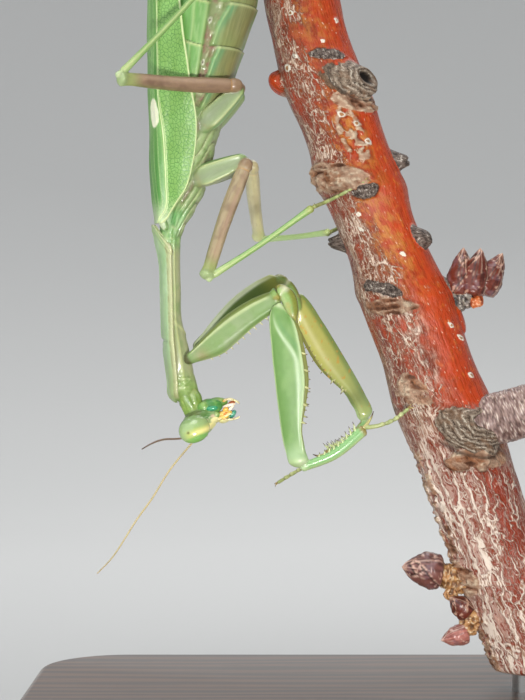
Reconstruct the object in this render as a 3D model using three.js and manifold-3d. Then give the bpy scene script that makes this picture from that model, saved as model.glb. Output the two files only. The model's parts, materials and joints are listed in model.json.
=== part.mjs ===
// A life-size praying mantis, head down on a cut length of branch, held by a display stand.
//
// Millimetres, +Z up. The mantis hangs head down: its front is -Z, its back -X, its belly +X,
// its left side -Y and its right side +Y. The origin is the middle of the base's underside.

import * as THREE from 'three';
import { mergeVertices } from 'three/addons/utils/BufferGeometryUtils.js';
import Module from 'manifold-3d';

const wasm = await Module();
wasm.setup();

// ---- Driving dimensions ----

const GAP = 0.3; // clearance between neighbouring pieces
const WING_THICKNESS = 0.5;
const WING_SPAN = { root: 65.6, tip: 100.4 };
const THORAX = { front: 66.2, back: 79.6 };
const ABDOMEN = { front: THORAX.back + GAP, tip: 112 };
const PRONOTUM = { front: 42.6, back: 65.3, slant: 2.6 };
const PROTHORAX = { front: 43.7, back: 65.6 };
const HEAD = { x: -15.6, z: 39.9, tilt: 20 };
const EYE = { along: 2.0, across: 1.4, deep: 1.6, x: -0.45, y: 2.6, z: -0.1 };
const TARSUS_RADIUS = 0.28;
const BASE = { length: 76, width: 60, height: 6, corner: 12, bevel: 0.8 };
const ROD = { x: 26.6, radius: 2, bottom: 2.4, top: 15 };
const BRANCH = { bottom: 8.6, top: 113.6, sides: 12, rings: 16 };

const LEFT = -1;
const RIGHT = 1;
const SIDES = { left: LEFT, right: RIGHT };

// ---- Materials ----

const finish = (color, roughness, metalness = 0) =>
  new THREE.MeshStandardMaterial({ color, roughness, metalness });

const MATERIALS = {
  wing: finish(0x74b85a, 0.5),
  pronotum: finish(0x86b184, 0.5),
  body: finish(0x7fa95c, 0.5),
  head: finish(0x8fc872, 0.4),
  eye: finish(0xa9cf86, 0.15),
  mouth: finish(0xd9b24a, 0.45),
  labrum: finish(0x49b3a3, 0.35),
  foreleg: finish(0x7fae6a, 0.45),
  thigh: finish(0xa98877, 0.5),
  shank: finish(0xa3cf86, 0.5),
  antenna: finish(0xe3dcb4, 0.5),
  bark: finish(0x9c3b26, 0.4),
  wood: finish(0x3a2a20, 0.35),
  metal: finish(0xb9b9b7, 0.3, 1),
};

// ---- Making solids ----

const at = (x, y, z) => new THREE.Vector3(x, y, z);

// Smooth values between rows of [position, ...values].
function smooth(rows) {
  const positions = rows.map((row) => row[0]);
  const values = rows.flatMap((row) => row.slice(1));
  const curve = new THREE.CubicInterpolant(positions, values, rows[0].length - 1);
  return (position) => [...curve.evaluate(position)];
}

// Moves each vertex of a geometry to place(vertex).
function bend(geometry, place) {
  const { position } = geometry.attributes;
  const vertex = new THREE.Vector3();
  for (let i = 0; i < position.count; i += 1) {
    const { x, y, z } = place(vertex.fromBufferAttribute(position, i));
    position.setXYZ(i, x, y, z);
  }
  return geometry;
}

// A closed three.js geometry as a manifold-3d solid.
function solid(geometry) {
  geometry.deleteAttribute('normal');
  geometry.deleteAttribute('uv');
  const merged = mergeVertices(geometry, 1e-5);
  return new wasm.Manifold(new wasm.Mesh({
    numProp: 3,
    vertProperties: merged.attributes.position.array,
    triVerts: Uint32Array.from(merged.index.array),
  }));
}

function geometryOf(body) {
  const { vertProperties, triVerts } = body.getMesh();
  const geometry = new THREE.BufferGeometry();
  geometry.setAttribute('position', new THREE.BufferAttribute(vertProperties, 3));
  geometry.setIndex(new THREE.BufferAttribute(triVerts, 1));
  geometry.computeVertexNormals();
  return geometry;
}

function ellipsoid(centre, radii, sides = 10, rings = 7) {
  const sphere = new THREE.SphereGeometry(1, sides, rings).rotateX(Math.PI / 2);
  return solid(bend(sphere, (v) => v.multiply(radii).add(centre)));
}

// A pointed spine from `root` to `tip`.
function spine(root, tip, radius, sides = 4) {
  const way = tip.clone().sub(root);
  const turn = new THREE.Quaternion().setFromUnitVectors(at(0, 1, 0), way.clone().normalize());
  const cone = new THREE.ConeGeometry(radius, way.length(), sides);
  cone.translate(0, way.length() / 2, 0).applyQuaternion(turn).translate(root.x, root.y, root.z);
  return solid(cone);
}

const joined = (bodies) => wasm.Manifold.union(bodies);

// The part of a body that lies `clear` or more beyond the plane through `point`.
function beyond(body, point, normal, clear = GAP / 2) {
  const unit = normal.clone().normalize();
  return body.trimByPlane(unit.toArray(), unit.dot(point) + clear);
}

// The direction nearest to `wish` that is square to `axis`.
function squareTo(axis, wish) {
  return wish.clone().addScaledVector(axis, -wish.dot(axis) / axis.lengthSq()).normalize();
}

// Fraction of the full girth at `reach`, the distance from a domed end over the dome's length.
function domed(reach) {
  const BLUNT = 0.35;
  return reach >= 1 ? 1 : Math.max(BLUNT, Math.sqrt(1 - (1 - reach) ** 2));
}

// A closed body with domed ends along a path. Its rows are [t, half width, back, front]: the
// section at t reaches `front` towards `flexor`, `back` away from it and half width to the sides.
function limb({ path, rows, flexor, sides = 8, rings = 8, dome = 0.8, grow = 0 }) {
  const curve = new THREE.CatmullRomCurve3(path, false, 'centripetal');
  const girth = smooth(rows);
  const length = curve.getLength();
  const crowding = 0.5; // how far the rings crowd towards the ends
  return bend(new THREE.CylinderGeometry(1, 1, 1, sides, rings), (v) => {
    const even = v.y + 0.5;
    const t = THREE.MathUtils.lerp(even, 0.5 - 0.5 * Math.cos(Math.PI * even), crowding);
    const [halfWidth, back, front] = girth(t);
    const taper = domed((Math.min(t, 1 - t) * length) / dome);
    const tangent = curve.getTangentAt(t);
    const forward = squareTo(tangent, flexor);
    const sideways = tangent.clone().cross(forward);
    const depth = v.z > 0 ? front : back;
    return curve.getPointAt(t)
      .addScaledVector(sideways, v.x * (halfWidth * taper + grow))
      .addScaledVector(forward, v.z * (depth * taper + grow));
  });
}

// ---- The trunk: thorax and abdomen, in level sections ----

// Height, middle x, half depth and half width.
const TRUNK = smooth([
  [66, -18.3, 1.6, 2.2],
  [69, -17.6, 2.6, 3.1],
  [73, -17.2, 3.3, 3.7],
  [77, -16.7, 3.8, 4.2],
  [82, -16.1, 4.6, 5.0],
  [86, -15.5, 5.2, 5.7],
  [90, -14.9, 5.9, 6.2],
  [94, -14.3, 6.4, 6.5],
  [98, -14.3, 6.1, 6.4],
  [102, -14.8, 5.2, 5.7],
  [106, -15.4, 3.9, 4.5],
  [109.5, -15.9, 2.4, 2.9],
  [112, -16.2, 1.0, 1.3],
]);

// A point on the trunk, `lift` above it; angle 0 is the middle of the back, and positive angles
// go round towards the mantis's left side.
function trunkPoint(height, angle, lift = 0) {
  const SQUARE = 0.92; // below 1 a section is fuller than an ellipse
  const round = (value) => Math.sign(value) * Math.abs(value) ** SQUARE;
  const [x, halfDepth, halfWidth] = TRUNK(height);
  return at(
    x - (halfDepth + lift) * round(Math.cos(angle)),
    -(halfWidth + lift) * round(Math.sin(angle)),
    height,
  );
}

// A length of the trunk with a ring of points at each of the heights.
function trunkLength(heights, sides, swell = () => 1) {
  const last = heights.length - 1;
  return solid(bend(new THREE.CylinderGeometry(1, 1, 1, sides, last), (v) => {
    const ring = Math.round((v.y + 0.5) * last);
    const height = heights[ring];
    const rim = trunkPoint(height, Math.atan2(v.x, v.z) + Math.PI);
    const [x] = TRUNK(height);
    return at(x, 0, height).lerp(rim, Math.hypot(v.x, v.z) * swell(ring));
  }));
}

const even = (bottom, top, steps) =>
  Array.from({ length: steps + 1 }, (_, i) => THREE.MathUtils.lerp(bottom, top, i / steps));

// The seams between the abdominal rings. Each ring is widest two thirds of the way up.
const SEAMS = [ABDOMEN.front, 82.6, 87.6, 93, 98, 102.4, 106.2, 109.4, ABDOMEN.tip];

function abdomen() {
  const SEAM_DEPTH = 0.045;
  const WIDEST = 0.66;
  const heights = SEAMS.slice(1).flatMap((seam, i) => [
    SEAMS[i],
    THREE.MathUtils.lerp(SEAMS[i], seam, WIDEST),
  ]);
  heights.push(ABDOMEN.tip);
  return trunkLength(heights, 12, (ring) => (ring % 2 ? 1 : 1 - SEAM_DEPTH));
}

// ---- Wings ----

// Along the wing from root to tip: angles in degrees of its leading and its inner edge.
const WING_EDGES = smooth([
  [0, 52, 4],
  [0.05, 75, -2],
  [0.12, 97, -18],
  [0.22, 106, -27],
  [0.34, 103, -30],
  [0.48, 89, -30],
  [0.66, 73, -28],
  [0.82, 61, -23],
  [0.92, 50, -14],
  [0.98, 36, 0],
  [1, 26, 10],
]);

// The left wing lies over the right one, so it rises where it crosses the back.
function wingLift(side, angle) {
  const LOW = GAP + 0.05;
  const rise = WING_THICKNESS + GAP;
  return side === LEFT ? LOW + rise * (1 - THREE.MathUtils.smoothstep(angle, 42, 62)) : LOW;
}

function wing(side) {
  const slab = new THREE.BoxGeometry(1, 1, 1, 6, 10, 1);
  return solid(bend(slab, (v) => {
    const t = v.y + 0.5;
    const [leading, inner] = WING_EDGES(t);
    const angle = THREE.MathUtils.lerp(leading, inner, v.x + 0.5);
    const height = THREE.MathUtils.lerp(WING_SPAN.root, WING_SPAN.tip, t);
    const outside = side === LEFT ? 0.5 - v.z : v.z + 0.5;
    const lift = wingLift(side, angle) + WING_THICKNESS * outside;
    return trunkPoint(height, -side * THREE.MathUtils.degToRad(angle), lift);
  }));
}

// ---- Pronotum, prothorax and neck ----

// Height, x of the ridge, x of the side margins, half width.
const PRONOTUM_ROWS = smooth([
  [42.6, -18.3, -17.9, 1.1],
  [43.4, -19.2, -18.0, 1.6],
  [45.5, -19.5, -18.1, 2.0],
  [48.5, -19.9, -18.3, 2.45],
  [51.0, -20.2, -18.5, 2.55],
  [53.5, -20.3, -18.6, 2.0],
  [57.0, -20.4, -18.7, 1.65],
  [61.0, -20.6, -18.8, 1.7],
  [63.3, -21.1, -18.7, 1.95],
  [65.3, -21.4, -18.4, 2.2],
]);

function pronotum() {
  const barrel = new THREE.CylinderGeometry(1, 1, 1, 12, 12);
  return solid(bend(barrel, (v) => {
    const back = PRONOTUM.back - PRONOTUM.slant * Math.abs(v.z) ** 2.4;
    const height = THREE.MathUtils.lerp(PRONOTUM.front, back, v.y + 0.5);
    const [ridge, margin, halfWidth] = PRONOTUM_ROWS(height);
    const rise = Math.max(0, v.x) * (margin - ridge);
    return at(margin - rise, halfWidth * v.z, height);
  }));
}

// Height, x of the belly, half width.
const PROTHORAX_ROWS = smooth([
  [43.6, -15.2, 1.3],
  [45.5, -15.9, 1.7],
  [48.5, -16.5, 1.9],
  [51.0, -17.1, 1.9],
  [53.5, -17.7, 1.6],
  [57.0, -17.8, 1.4],
  [61.0, -17.9, 1.4],
  [63.5, -17.8, 1.6],
  [65.6, -17.4, 1.9],
]);

function prothorax() {
  const barrel = new THREE.CylinderGeometry(1, 1, 1, 10, 8);
  return solid(bend(barrel, (v) => {
    const height = THREE.MathUtils.lerp(PROTHORAX.front, PROTHORAX.back, v.y + 0.5);
    const [, margin] = PRONOTUM_ROWS(height);
    const [belly, halfWidth] = PROTHORAX_ROWS(height);
    const top = margin + GAP;
    return at(top + Math.max(0, -v.x) * (belly - top), halfWidth * v.z, height);
  }));
}

const NECK_END = at(-16.3, 0, 42.0);
const NECK = {
  path: [at(-16.9, 0, 43.1), at(-16.2, 0, 42.3), at(-15.5, 0, 41.4)],
  rows: [[0, 1.0, 1.0, 0.8], [0.5, 1.05, 1.0, 1.0], [1, 0.9, 0.9, 0.9]],
  flexor: at(1, 0, 0),
  rings: 4,
  dome: 0.5,
};

// ---- Head, in its own frame: mouth towards +X, face towards -Z, eyes at -Y and +Y ----

const HEAD_ROWS = [
  [0, 1.7, 0.6, 0.7],
  [0.16, 2.6, 1.5, 1.6],
  [0.4, 2.85, 1.9, 1.95],
  [0.62, 2.3, 1.85, 1.45],
  [0.82, 1.65, 1.6, 0.95],
  [1, 1.25, 1.15, 0.55],
];

function eye(side, grow = 0) {
  const centre = at(EYE.x, side * EYE.y, EYE.z);
  return ellipsoid(centre, at(EYE.along + grow, EYE.across + grow, EYE.deep + grow));
}

function headCapsule() {
  const capsule = solid(limb({
    path: [at(-2.0, 0, 0.1), at(0.4, 0, 0.1), at(3.0, 0, 0.2)],
    rows: HEAD_ROWS,
    flexor: at(0, 0, -1),
    sides: 12,
    rings: 8,
    dome: 0.7,
  }));
  return capsule.subtract(joined([eye(LEFT, GAP / 2), eye(RIGHT, GAP / 2)]));
}

// The slim feelers beside the mouth.
function palp(points, side) {
  return solid(limb({
    path: points.map(([x, y, z]) => at(x, side * y, z)),
    rows: [[0, 0.26, 0.26, 0.26], [0.7, 0.29, 0.29, 0.29], [1, 0.25, 0.25, 0.25]],
    flexor: at(0, side, 0),
    sides: 5,
    rings: 4,
    dome: 0.3,
  }));
}

const MAXILLARY = [[2.7, 1.95, 0.4], [3.4, 1.9, -0.3], [4.4, 1.5, -0.8], [5.4, 1.1, -0.85]];
const LABIAL = [[3.6, 0.8, 1.75], [4.6, 0.8, 1.7], [5.4, 0.7, 1.25], [6.0, 0.6, 0.75]];

function antenna(path) {
  return solid(limb({
    path,
    rows: [[0, 0.36, 0.36, 0.36], [0.08, 0.28, 0.28, 0.28], [1, 0.25, 0.25, 0.25]],
    flexor: at(1, 0, 0),
    sides: 5,
    rings: 11,
    dome: 0.2,
  }));
}

const ANTENNAE = {
  left: [
    at(-15.9, -0.6, 37.6), at(-16.9, -1.4, 36.8), at(-19.1, -3, 34.3), at(-21.2, -5, 30.9),
    at(-23.0, -6.5, 28.4), at(-25.9, -9, 23.9), at(-27.7, -10, 22.0),
  ],
  right: [
    at(-16.0, 0.6, 37.6), at(-18.3, 2.4, 38.1), at(-20.4, 7.5, 37.7),
    at(-22.3, 12.7, 36.9), at(-23.9, 17.6, 35.9),
  ],
};

// ---- Branch ----

// Height, middle x, middle y and radius, swelling at the nodes.
const BRANCH_ROWS = smooth([
  [8.6, 28.3, 0, 6.2],
  [12.4, 26.9, 0, 6.2],
  [18.8, 24.3, 0, 6.2],
  [26, 21.6, 0, 5.9],
  [34, 18.9, 0, 6.0],
  [41, 16.3, 0, 6.6],
  [48, 13.8, 0, 5.9],
  [56.5, 10.8, 0, 6.1],
  [61, 9.2, 0, 5.5],
  [66, 7.0, 0, 5.2],
  [71, 5.1, 0, 5.6],
  [76, 3.5, 0.3, 5.2],
  [83, 1.0, 1.2, 5.5],
  [89, -0.9, 2.2, 5.0],
  [94.5, -2.2, 3.0, 4.9],
  [100, -2.6, 3.3, 4.7],
  [107, -3.3, 3.4, 4.6],
  [113.6, -4.4, 3.4, 4.4],
]);

// A point `lift` above the bark; angle 0 faces -Y and positive angles go round towards +X.
function barkPoint(height, degrees, lift = 0) {
  const [x, y, radius] = BRANCH_ROWS(height);
  const angle = THREE.MathUtils.degToRad(degrees);
  const reach = radius + lift;
  return at(x + reach * Math.sin(angle), y - reach * Math.cos(angle), height);
}

// Knots and spur stubs: height, angle on the bark, and radii outwards, along and round.
const KNOTS = [
  { height: 84.2, angle: 34, size: [1.7, 3.0, 3.4] },
  { height: 39.3, angle: 14, size: [1.2, 3.2, 3.8] },
  { height: 74.0, angle: 85, size: [1.8, 1.5, 1.4] },
  { height: 63.6, angle: 85, size: [1.6, 1.3, 1.3] },
  { height: 63.2, angle: -95, size: [1.8, 1.3, 1.3] },
  { height: 83.8, angle: -95, size: [2.0, 1.6, 1.7] },
];

function knot({ height, angle, size: [outward, along, round] }) {
  const lump = new THREE.SphereGeometry(1, 6, 4);
  const foot = barkPoint(height, angle);
  const turn = THREE.MathUtils.degToRad(angle - 90);
  lump.scale(outward, round, along).rotateZ(turn).translate(foot.x, foot.y, foot.z);
  return solid(lump);
}

// Where side shoots and buds grow from the bark. Each part's ends are measured from there.
const SHOOTS = [
  {
    foot: barkPoint(40.8, 60),
    pegs: [{ from: [-3, 0.5, -0.6], to: [5.4, -0.6, 1.6], radius: 3.2 }],
    buds: [],
  },
  {
    foot: barkPoint(57.6, 88),
    pegs: [{ from: [-1.4, 0, -1.8], to: [4.2, -0.2, -0.6], radius: 1.6 }],
    buds: [
      { from: [1.3, -0.5, -1.2], to: [1.9, -0.6, 5.0], radius: 1.5 },
      { from: [2.9, -0.9, -1.2], to: [4.0, -0.9, 4.9], radius: 1.6 },
      { from: [4.2, -0.3, -1.0], to: [6.9, -0.4, 4.3], radius: 1.5 },
      { from: [2.4, 0.9, -1.0], to: [3.6, 1.6, 4.0], radius: 1.4 },
    ],
  },
  {
    foot: barkPoint(20.4, -84),
    pegs: [{ from: [1.2, 0, -0.3], to: [-2.6, -0.4, 0.9], radius: 1.6 }],
    buds: [{ from: [-2.0, -0.4, 0.8], to: [-7.2, -0.8, 1.5], radius: 2 }],
  },
  {
    foot: barkPoint(15.2, -80),
    pegs: [{ from: [1.2, 0, 1.2], to: [-0.9, -0.6, -2.0], radius: 1.3 }],
    buds: [
      { from: [-0.6, -0.5, 0.8], to: [-3.3, -0.9, 2.9], radius: 1.25 },
      { from: [-0.8, -0.6, -1.6], to: [-4.4, -0.9, -2.6], radius: 1.15 },
    ],
  },
];

// A round body between two points beside `foot`. Its shares are [t, share of the full radius].
function shootPart(foot, { from, to, radius }, shares) {
  const SHOOT_SIDES = 6;
  const last = shares.length - 1;
  const [start, end] = [from, to].map((place) => at(...place).add(foot));
  const way = end.clone().sub(start);
  const turn = new THREE.Quaternion().setFromUnitVectors(at(0, 1, 0), way.clone().normalize());
  return solid(bend(new THREE.CylinderGeometry(1, 1, 1, SHOOT_SIDES, last), (v) => {
    const [t, share] = shares[Math.round((v.y + 0.5) * last)];
    const out = at(v.x, 0, v.z).multiplyScalar(share * radius).applyQuaternion(turn);
    return out.add(start).addScaledVector(way, t);
  }));
}

function shoot({ foot, pegs, buds }) {
  const PEG = [[0, 1], [1, 0.9]];
  const BUD = [[0, 0.6], [0.35, 1], [0.75, 0.65], [1, 0.12]];
  return [
    ...pegs.map((peg) => shootPart(foot, peg, PEG)),
    ...buds.map((bud) => shootPart(foot, bud, BUD)),
  ];
}

function branch() {
  const stem = solid(bend(new THREE.CylinderGeometry(1, 1, 1, BRANCH.sides, BRANCH.rings), (v) => {
    const height = THREE.MathUtils.lerp(BRANCH.bottom, BRANCH.top, v.y + 0.5);
    const [x, y, radius] = BRANCH_ROWS(height);
    return at(x - radius * v.z, y - radius * v.x, height);
  }));
  const hole = rod(GAP, ROD.top + GAP);
  return joined([stem, ...KNOTS.map(knot), ...SHOOTS.flatMap(shoot)]).subtract(hole);
}

// ---- Stand ----

function rod(grow = 0, top = ROD.top) {
  const bar = new THREE.CylinderGeometry(ROD.radius + grow, ROD.radius + grow, 1, 12);
  const bottom = ROD.bottom - grow;
  bar.rotateX(Math.PI / 2).scale(1, 1, top - bottom).translate(ROD.x, 0, (top + bottom) / 2);
  return solid(bar);
}

function base() {
  const { length, width, height, corner, bevel } = BASE;
  const halfLength = length / 2 - bevel;
  const halfWidth = width / 2 - bevel;
  const outline = new THREE.Shape();
  outline.moveTo(-halfLength + corner, -halfWidth);
  outline.absarc(halfLength - corner, -halfWidth + corner, corner, -Math.PI / 2, 0);
  outline.absarc(halfLength - corner, halfWidth - corner, corner, 0, Math.PI / 2);
  outline.absarc(-halfLength + corner, halfWidth - corner, corner, Math.PI / 2, Math.PI);
  outline.absarc(-halfLength + corner, -halfWidth + corner, corner, Math.PI, Math.PI * 1.5);
  const plate = new THREE.ExtrudeGeometry(outline, {
    depth: height - 2 * bevel,
    bevelSize: bevel,
    bevelThickness: bevel,
    bevelSegments: 1,
    curveSegments: 3,
  });
  return solid(plate.translate(0, 0, bevel)).subtract(rod(GAP, BASE.height + 1));
}

// ---- Legs ----

// Rows of [t, half width, back, front] for each segment of the grasping and the walking legs, and
// how far a segment bows away from the side that it bends towards.
const FORE = {
  bow: { tibia: 0.8 },
  coxa: [
    [0, 0.7, 0.7, 0.6], [0.18, 0.9, 1.0, 0.95], [0.35, 1.0, 1.7, 1.6], [0.5, 0.95, 2.15, 1.3],
    [0.64, 0.9, 2.25, 0.95], [0.78, 0.85, 2.1, 0.8], [1, 0.75, 1.4, 0.7],
  ],
  femur: [
    [0, 0.55, 1.0, 0.8], [0.08, 0.72, 1.6, 1.3], [0.27, 0.8, 1.92, 2.1], [0.47, 0.8, 1.9, 2.3],
    [0.62, 0.75, 1.85, 1.6], [0.76, 0.65, 1.75, 0.75], [0.92, 0.68, 1.45, 1.1], [1, 0.6, 1.1, 1.1],
  ],
  tibia: [[0, 0.45, 0.6, 0.55], [0.2, 0.5, 0.6, 0.55], [0.7, 0.5, 0.7, 0.55], [1, 0.4, 0.8, 0.6]],
};
const WALKING = {
  bow: {},
  coxa: [[0, 1.3, 1.6, 1.5], [0.35, 1.1, 1.4, 1.3], [1, 0.7, 0.8, 0.7]],
  femur: [[0, 0.65, 0.7, 0.7], [0.12, 0.7, 0.85, 0.85], [0.75, 0.6, 0.8, 0.8], [1, 0.7, 0.9, 0.85]],
  tibia: [[0, 0.5, 0.55, 0.55], [0.1, 0.45, 0.5, 0.5], [0.8, 0.38, 0.4, 0.4], [1, 0.42, 0.45, 0.45]],
};
const TARSUS = [
  [0, TARSUS_RADIUS, TARSUS_RADIUS, TARSUS_RADIUS],
  [0.4, 0.27, 0.27, 0.27],
  [0.9, 0.26, 0.26, 0.26],
  [1, 0.3, 0.3, 0.3],
];

// Joint positions of each leg, from the hip to the ankle, and the points its foot lies along.
const GRIP = TARSUS_RADIUS + GAP + 0.1; // height of a gripping foot's middle above the bark
const LEGS = [
  {
    name: 'fore_left',
    shape: FORE,
    joints: [at(-17.2, -2.3, 47.9), at(-5.1, -4.3, 55.8), at(-2.7, -6, 34.8), at(5.4, -6, 39.8)],
    foot: [at(7.3, -6.2, 40.1), at(9.1, -6.1, 40.8), at(10.9, -6.0, 42.2)],
  },
  {
    name: 'fore_right',
    shape: FORE,
    joints: [at(-16.2, 2.3, 49.6), at(-5.0, 7.9, 58.5), at(7.0, 16, 40.2), at(1.0, 11.4, 35.4)],
    foot: [at(-0.6, 10.6, 34.5), at(-2.4, 9.8, 33.6), at(-5.4, 8.5, 31.9)],
  },
  {
    name: 'mid_left',
    shape: WALKING,
    joints: [at(-14.7, -2.3, 71.6), at(-9.2, -3.2, 73.7), at(-14.4, -8, 58.2), at(-1.0, -5.4, 67.4)],
    foot: [barkPoint(68.2, -62, 0.9), barkPoint(68.9, -38, GRIP), barkPoint(70.6, 2, GRIP)],
  },
  {
    name: 'mid_right',
    shape: WALKING,
    joints: [at(-14.2, 2.3, 72.4), at(-8.8, 3.7, 73.9), at(-7.8, 16.5, 64.6), at(1.4, 3.4, 64.8)],
    foot: [barkPoint(65.4, -132, 0.9), barkPoint(66.2, -160, GRIP), barkPoint(67.4, 165, GRIP)],
  },
  {
    name: 'hind_left',
    shape: WALKING,
    joints: [at(-14.1, -3.2, 78.7), at(-9.9, -3.7, 82.8), at(-25.2, -11, 82.8), at(-11.5, -6.9, 98.3)],
    foot: [at(-9.6, -5.2, 99.6), barkPoint(100.8, -46, 0.9), barkPoint(102.6, -8, GRIP)],
  },
  {
    name: 'hind_right',
    shape: WALKING,
    joints: [at(-14.1, 3.2, 78.9), at(-9.9, 3.9, 83.0), at(-20.5, 12.6, 92.0), at(-6.0, 8.2, 107.0)],
    foot: [barkPoint(107.8, -150, 0.7), barkPoint(108.6, -178, GRIP), barkPoint(109.8, 150, GRIP)],
  },
];

const directionOf = (from, to) => to.clone().sub(from).normalize();

// The three upper segments of a leg, each with its ends and the way that it bends.
function segmentsOf({ joints: [hip, trochanter, knee, ankle] }) {
  const DOWN = at(0.3, 0, -1);
  const segment = (name, from, to, towards) => {
    const axis = directionOf(from, to);
    return { name, from, to, axis, flexor: squareTo(axis, towards.clone().sub(from)) };
  };
  return [
    segment('coxa', hip, trochanter, hip.clone().add(DOWN)),
    segment('femur', trochanter, knee, ankle),
    segment('tibia', knee, ankle, trochanter),
  ];
}

function segmentSolid({ name, from, to, axis, flexor }, shape, grow) {
  const OVERRUN = 0.8; // how far a segment runs past its joints before they are mitred
  const start = from.clone().addScaledVector(axis, -OVERRUN);
  const middle = from.clone().lerp(to, 0.5).addScaledVector(flexor, -(shape.bow[name] ?? 0));
  const end = to.clone().addScaledVector(axis, OVERRUN);
  const sides = shape === FORE ? 8 : 7;
  return solid(limb({ path: [start, middle, end], rows: shape[name], flexor, sides, rings: 6, grow }));
}

// How many spines stand in a row on each segment of a grasping leg, where, and how long they are.
const SPINES = {
  coxa: { rows: [0], count: 7, range: [0.2, 0.85], radius: 0.16, length: (i) => 0.35 + 0.25 * (i % 2) },
  femur: { rows: [1, -1], count: 6, range: [0.26, 0.66], radius: 0.2, length: (i) => 0.7 + 0.8 * (i % 2) },
  tibia: { rows: [1, -1], count: 5, range: [0.36, 0.88], radius: 0.17, length: (i) => 0.5 + 0.2 * i },
};

// The spines along a grasping leg's inner edge, leaning towards the segment's far end.
function armature({ name, from, to, axis, flexor }) {
  const SUNK = 0.4; // how deep a spine's foot lies in the segment
  const ROW_OFFSET = 0.22;
  const LEAN = { along: 0.45, outward: 0.25 };
  const { rows, count, range, radius, length } = SPINES[name];
  const edge = smooth(FORE[name].map(([t, , , front]) => [t, front]));
  const across = axis.clone().cross(flexor);
  return rows.flatMap((side) => Array.from({ length: count }, (_, i) => {
    const t = THREE.MathUtils.lerp(range[0], range[1], i / (count - 1));
    const bowed = (FORE.bow[name] ?? 0) * 4 * t * (1 - t);
    const root = from.clone().lerp(to, t)
      .addScaledVector(flexor, edge(t)[0] - SUNK - bowed)
      .addScaledVector(across, side * ROW_OFFSET);
    const way = flexor.clone()
      .addScaledVector(axis, LEAN.along)
      .addScaledVector(across, side * LEAN.outward)
      .normalize();
    return spine(root, root.clone().addScaledVector(way, length(i) + SUNK), radius);
  }));
}

// The hooked claw that ends a grasping tibia.
function tibialClaw({ to, axis, flexor }) {
  const INWARD = 0.25; // from the middle of the tibia's end to the middle of the claw's root
  const root = to.clone().addScaledVector(flexor, INWARD);
  const middle = root.clone().addScaledVector(axis, 1.5).addScaledVector(flexor, 0.4);
  const tip = middle.clone().addScaledVector(axis, 0.7).addScaledVector(flexor, 1.5);
  return solid(limb({
    path: [root.clone().addScaledVector(axis, -0.6), root, middle, tip],
    rows: [[0, 0.32, 0.34, 0.34], [0.6, 0.28, 0.3, 0.3], [1, 0.1, 0.12, 0.12]],
    flexor,
    sides: 6,
    rings: 5,
    dome: 0.3,
  }));
}

// A foot along its route, ending in two small claws.
function tarsus(route, flexor) {
  const toes = route.at(-1);
  const axis = directionOf(route.at(-2), toes);
  const across = axis.clone().cross(flexor).normalize();
  const claws = [LEFT, RIGHT].map((side) => {
    const root = toes.clone().addScaledVector(axis, -0.15);
    const tip = toes.clone().addScaledVector(axis, 0.55).addScaledVector(across, 0.38 * side);
    return spine(root, tip, 0.16, 3);
  });
  const stem = limb({ path: route, rows: TARSUS, flexor, sides: 5, rings: 6, dome: 0.25 });
  return joined([solid(stem), ...claws]);
}

// One leg's four solids, mitred at its joints. A leg to cut sockets with is grown, and bare.
function legSolids(leg, grow = 0) {
  const segments = segmentsOf(leg);
  const armed = leg.shape === FORE && grow === 0;
  const bodies = segments.map((segment) => {
    const body = segmentSolid(segment, leg.shape, grow);
    return armed ? joined([body, ...armature(segment)]) : body;
  });

  // A grasping leg's foot leaves the outer side of the ankle, clear of the claw.
  const shin = segments.at(-1);
  const ankle = shin.to.clone().addScaledVector(shin.flexor, leg.shape === FORE ? -0.6 : 0);
  bodies.push(tarsus([ankle, ...leg.foot], shin.flexor));

  const axes = [...segments.map((segment) => segment.axis), directionOf(ankle, leg.foot[0])];
  segments.forEach((segment, i) => {
    const mitre = axes[i].clone().add(axes[i + 1]);
    bodies[i] = beyond(bodies[i], segment.to, mitre.clone().negate());
    bodies[i + 1] = beyond(bodies[i + 1], segment.to, mitre);
  });
  if (armed) {
    bodies[2] = joined([bodies[2], tibialClaw(shin)]);
  }
  return bodies;
}

// ---- Assembly ----

const mantis = new THREE.Group();

function add(name, body, material, parent = mantis) {
  const mesh = new THREE.Mesh(geometryOf(body), material);
  mesh.name = name;
  parent.add(mesh);
}

const head = new THREE.Group();
head.position.set(HEAD.x, 0, HEAD.z);
head.rotation.y = -THREE.MathUtils.degToRad(HEAD.tilt);
mantis.add(head);

add('head', headCapsule(), MATERIALS.head, head);
add('labrum', ellipsoid(at(4.25, 0, -0.8), at(0.85, 0.8, 0.3), 8, 5), MATERIALS.labrum, head);
add('labium', ellipsoid(at(3.95, 0, 0.98), at(0.75, 0.6, 0.28), 8, 5), MATERIALS.mouth, head);
for (const [name, side] of Object.entries(SIDES)) {
  const jaw = ellipsoid(at(4.05, side * 0.58, -0.02), at(0.75, 0.4, 0.42), 8, 5);
  add(`eye_${name}`, eye(side), MATERIALS.eye, head);
  add(`mandible_${name}`, jaw, MATERIALS.mouth, head);
  add(`palp_maxillary_${name}`, palp(MAXILLARY, side), MATERIALS.antenna, head);
  add(`palp_labial_${name}`, palp(LABIAL, side), MATERIALS.antenna, head);
  add(`antenna_${name}`, antenna(ANTENNAE[name]), MATERIALS.antenna);
}

const coxaeGrown = LEGS.map((leg) => legSolids(leg, GAP)[0]);
const withSockets = (body) => body.subtract(joined(coxaeGrown));

add('neck', beyond(solid(limb(NECK)), NECK_END, at(-0.34, 0, 0.94)), MATERIALS.body);
add('pronotum', withSockets(pronotum()), MATERIALS.pronotum);
add('prothorax', withSockets(prothorax()), MATERIALS.body);
add('thorax', withSockets(trunkLength(even(THORAX.front, THORAX.back, 4), 12)), MATERIALS.body);
add('abdomen', withSockets(abdomen()), MATERIALS.body);

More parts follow.
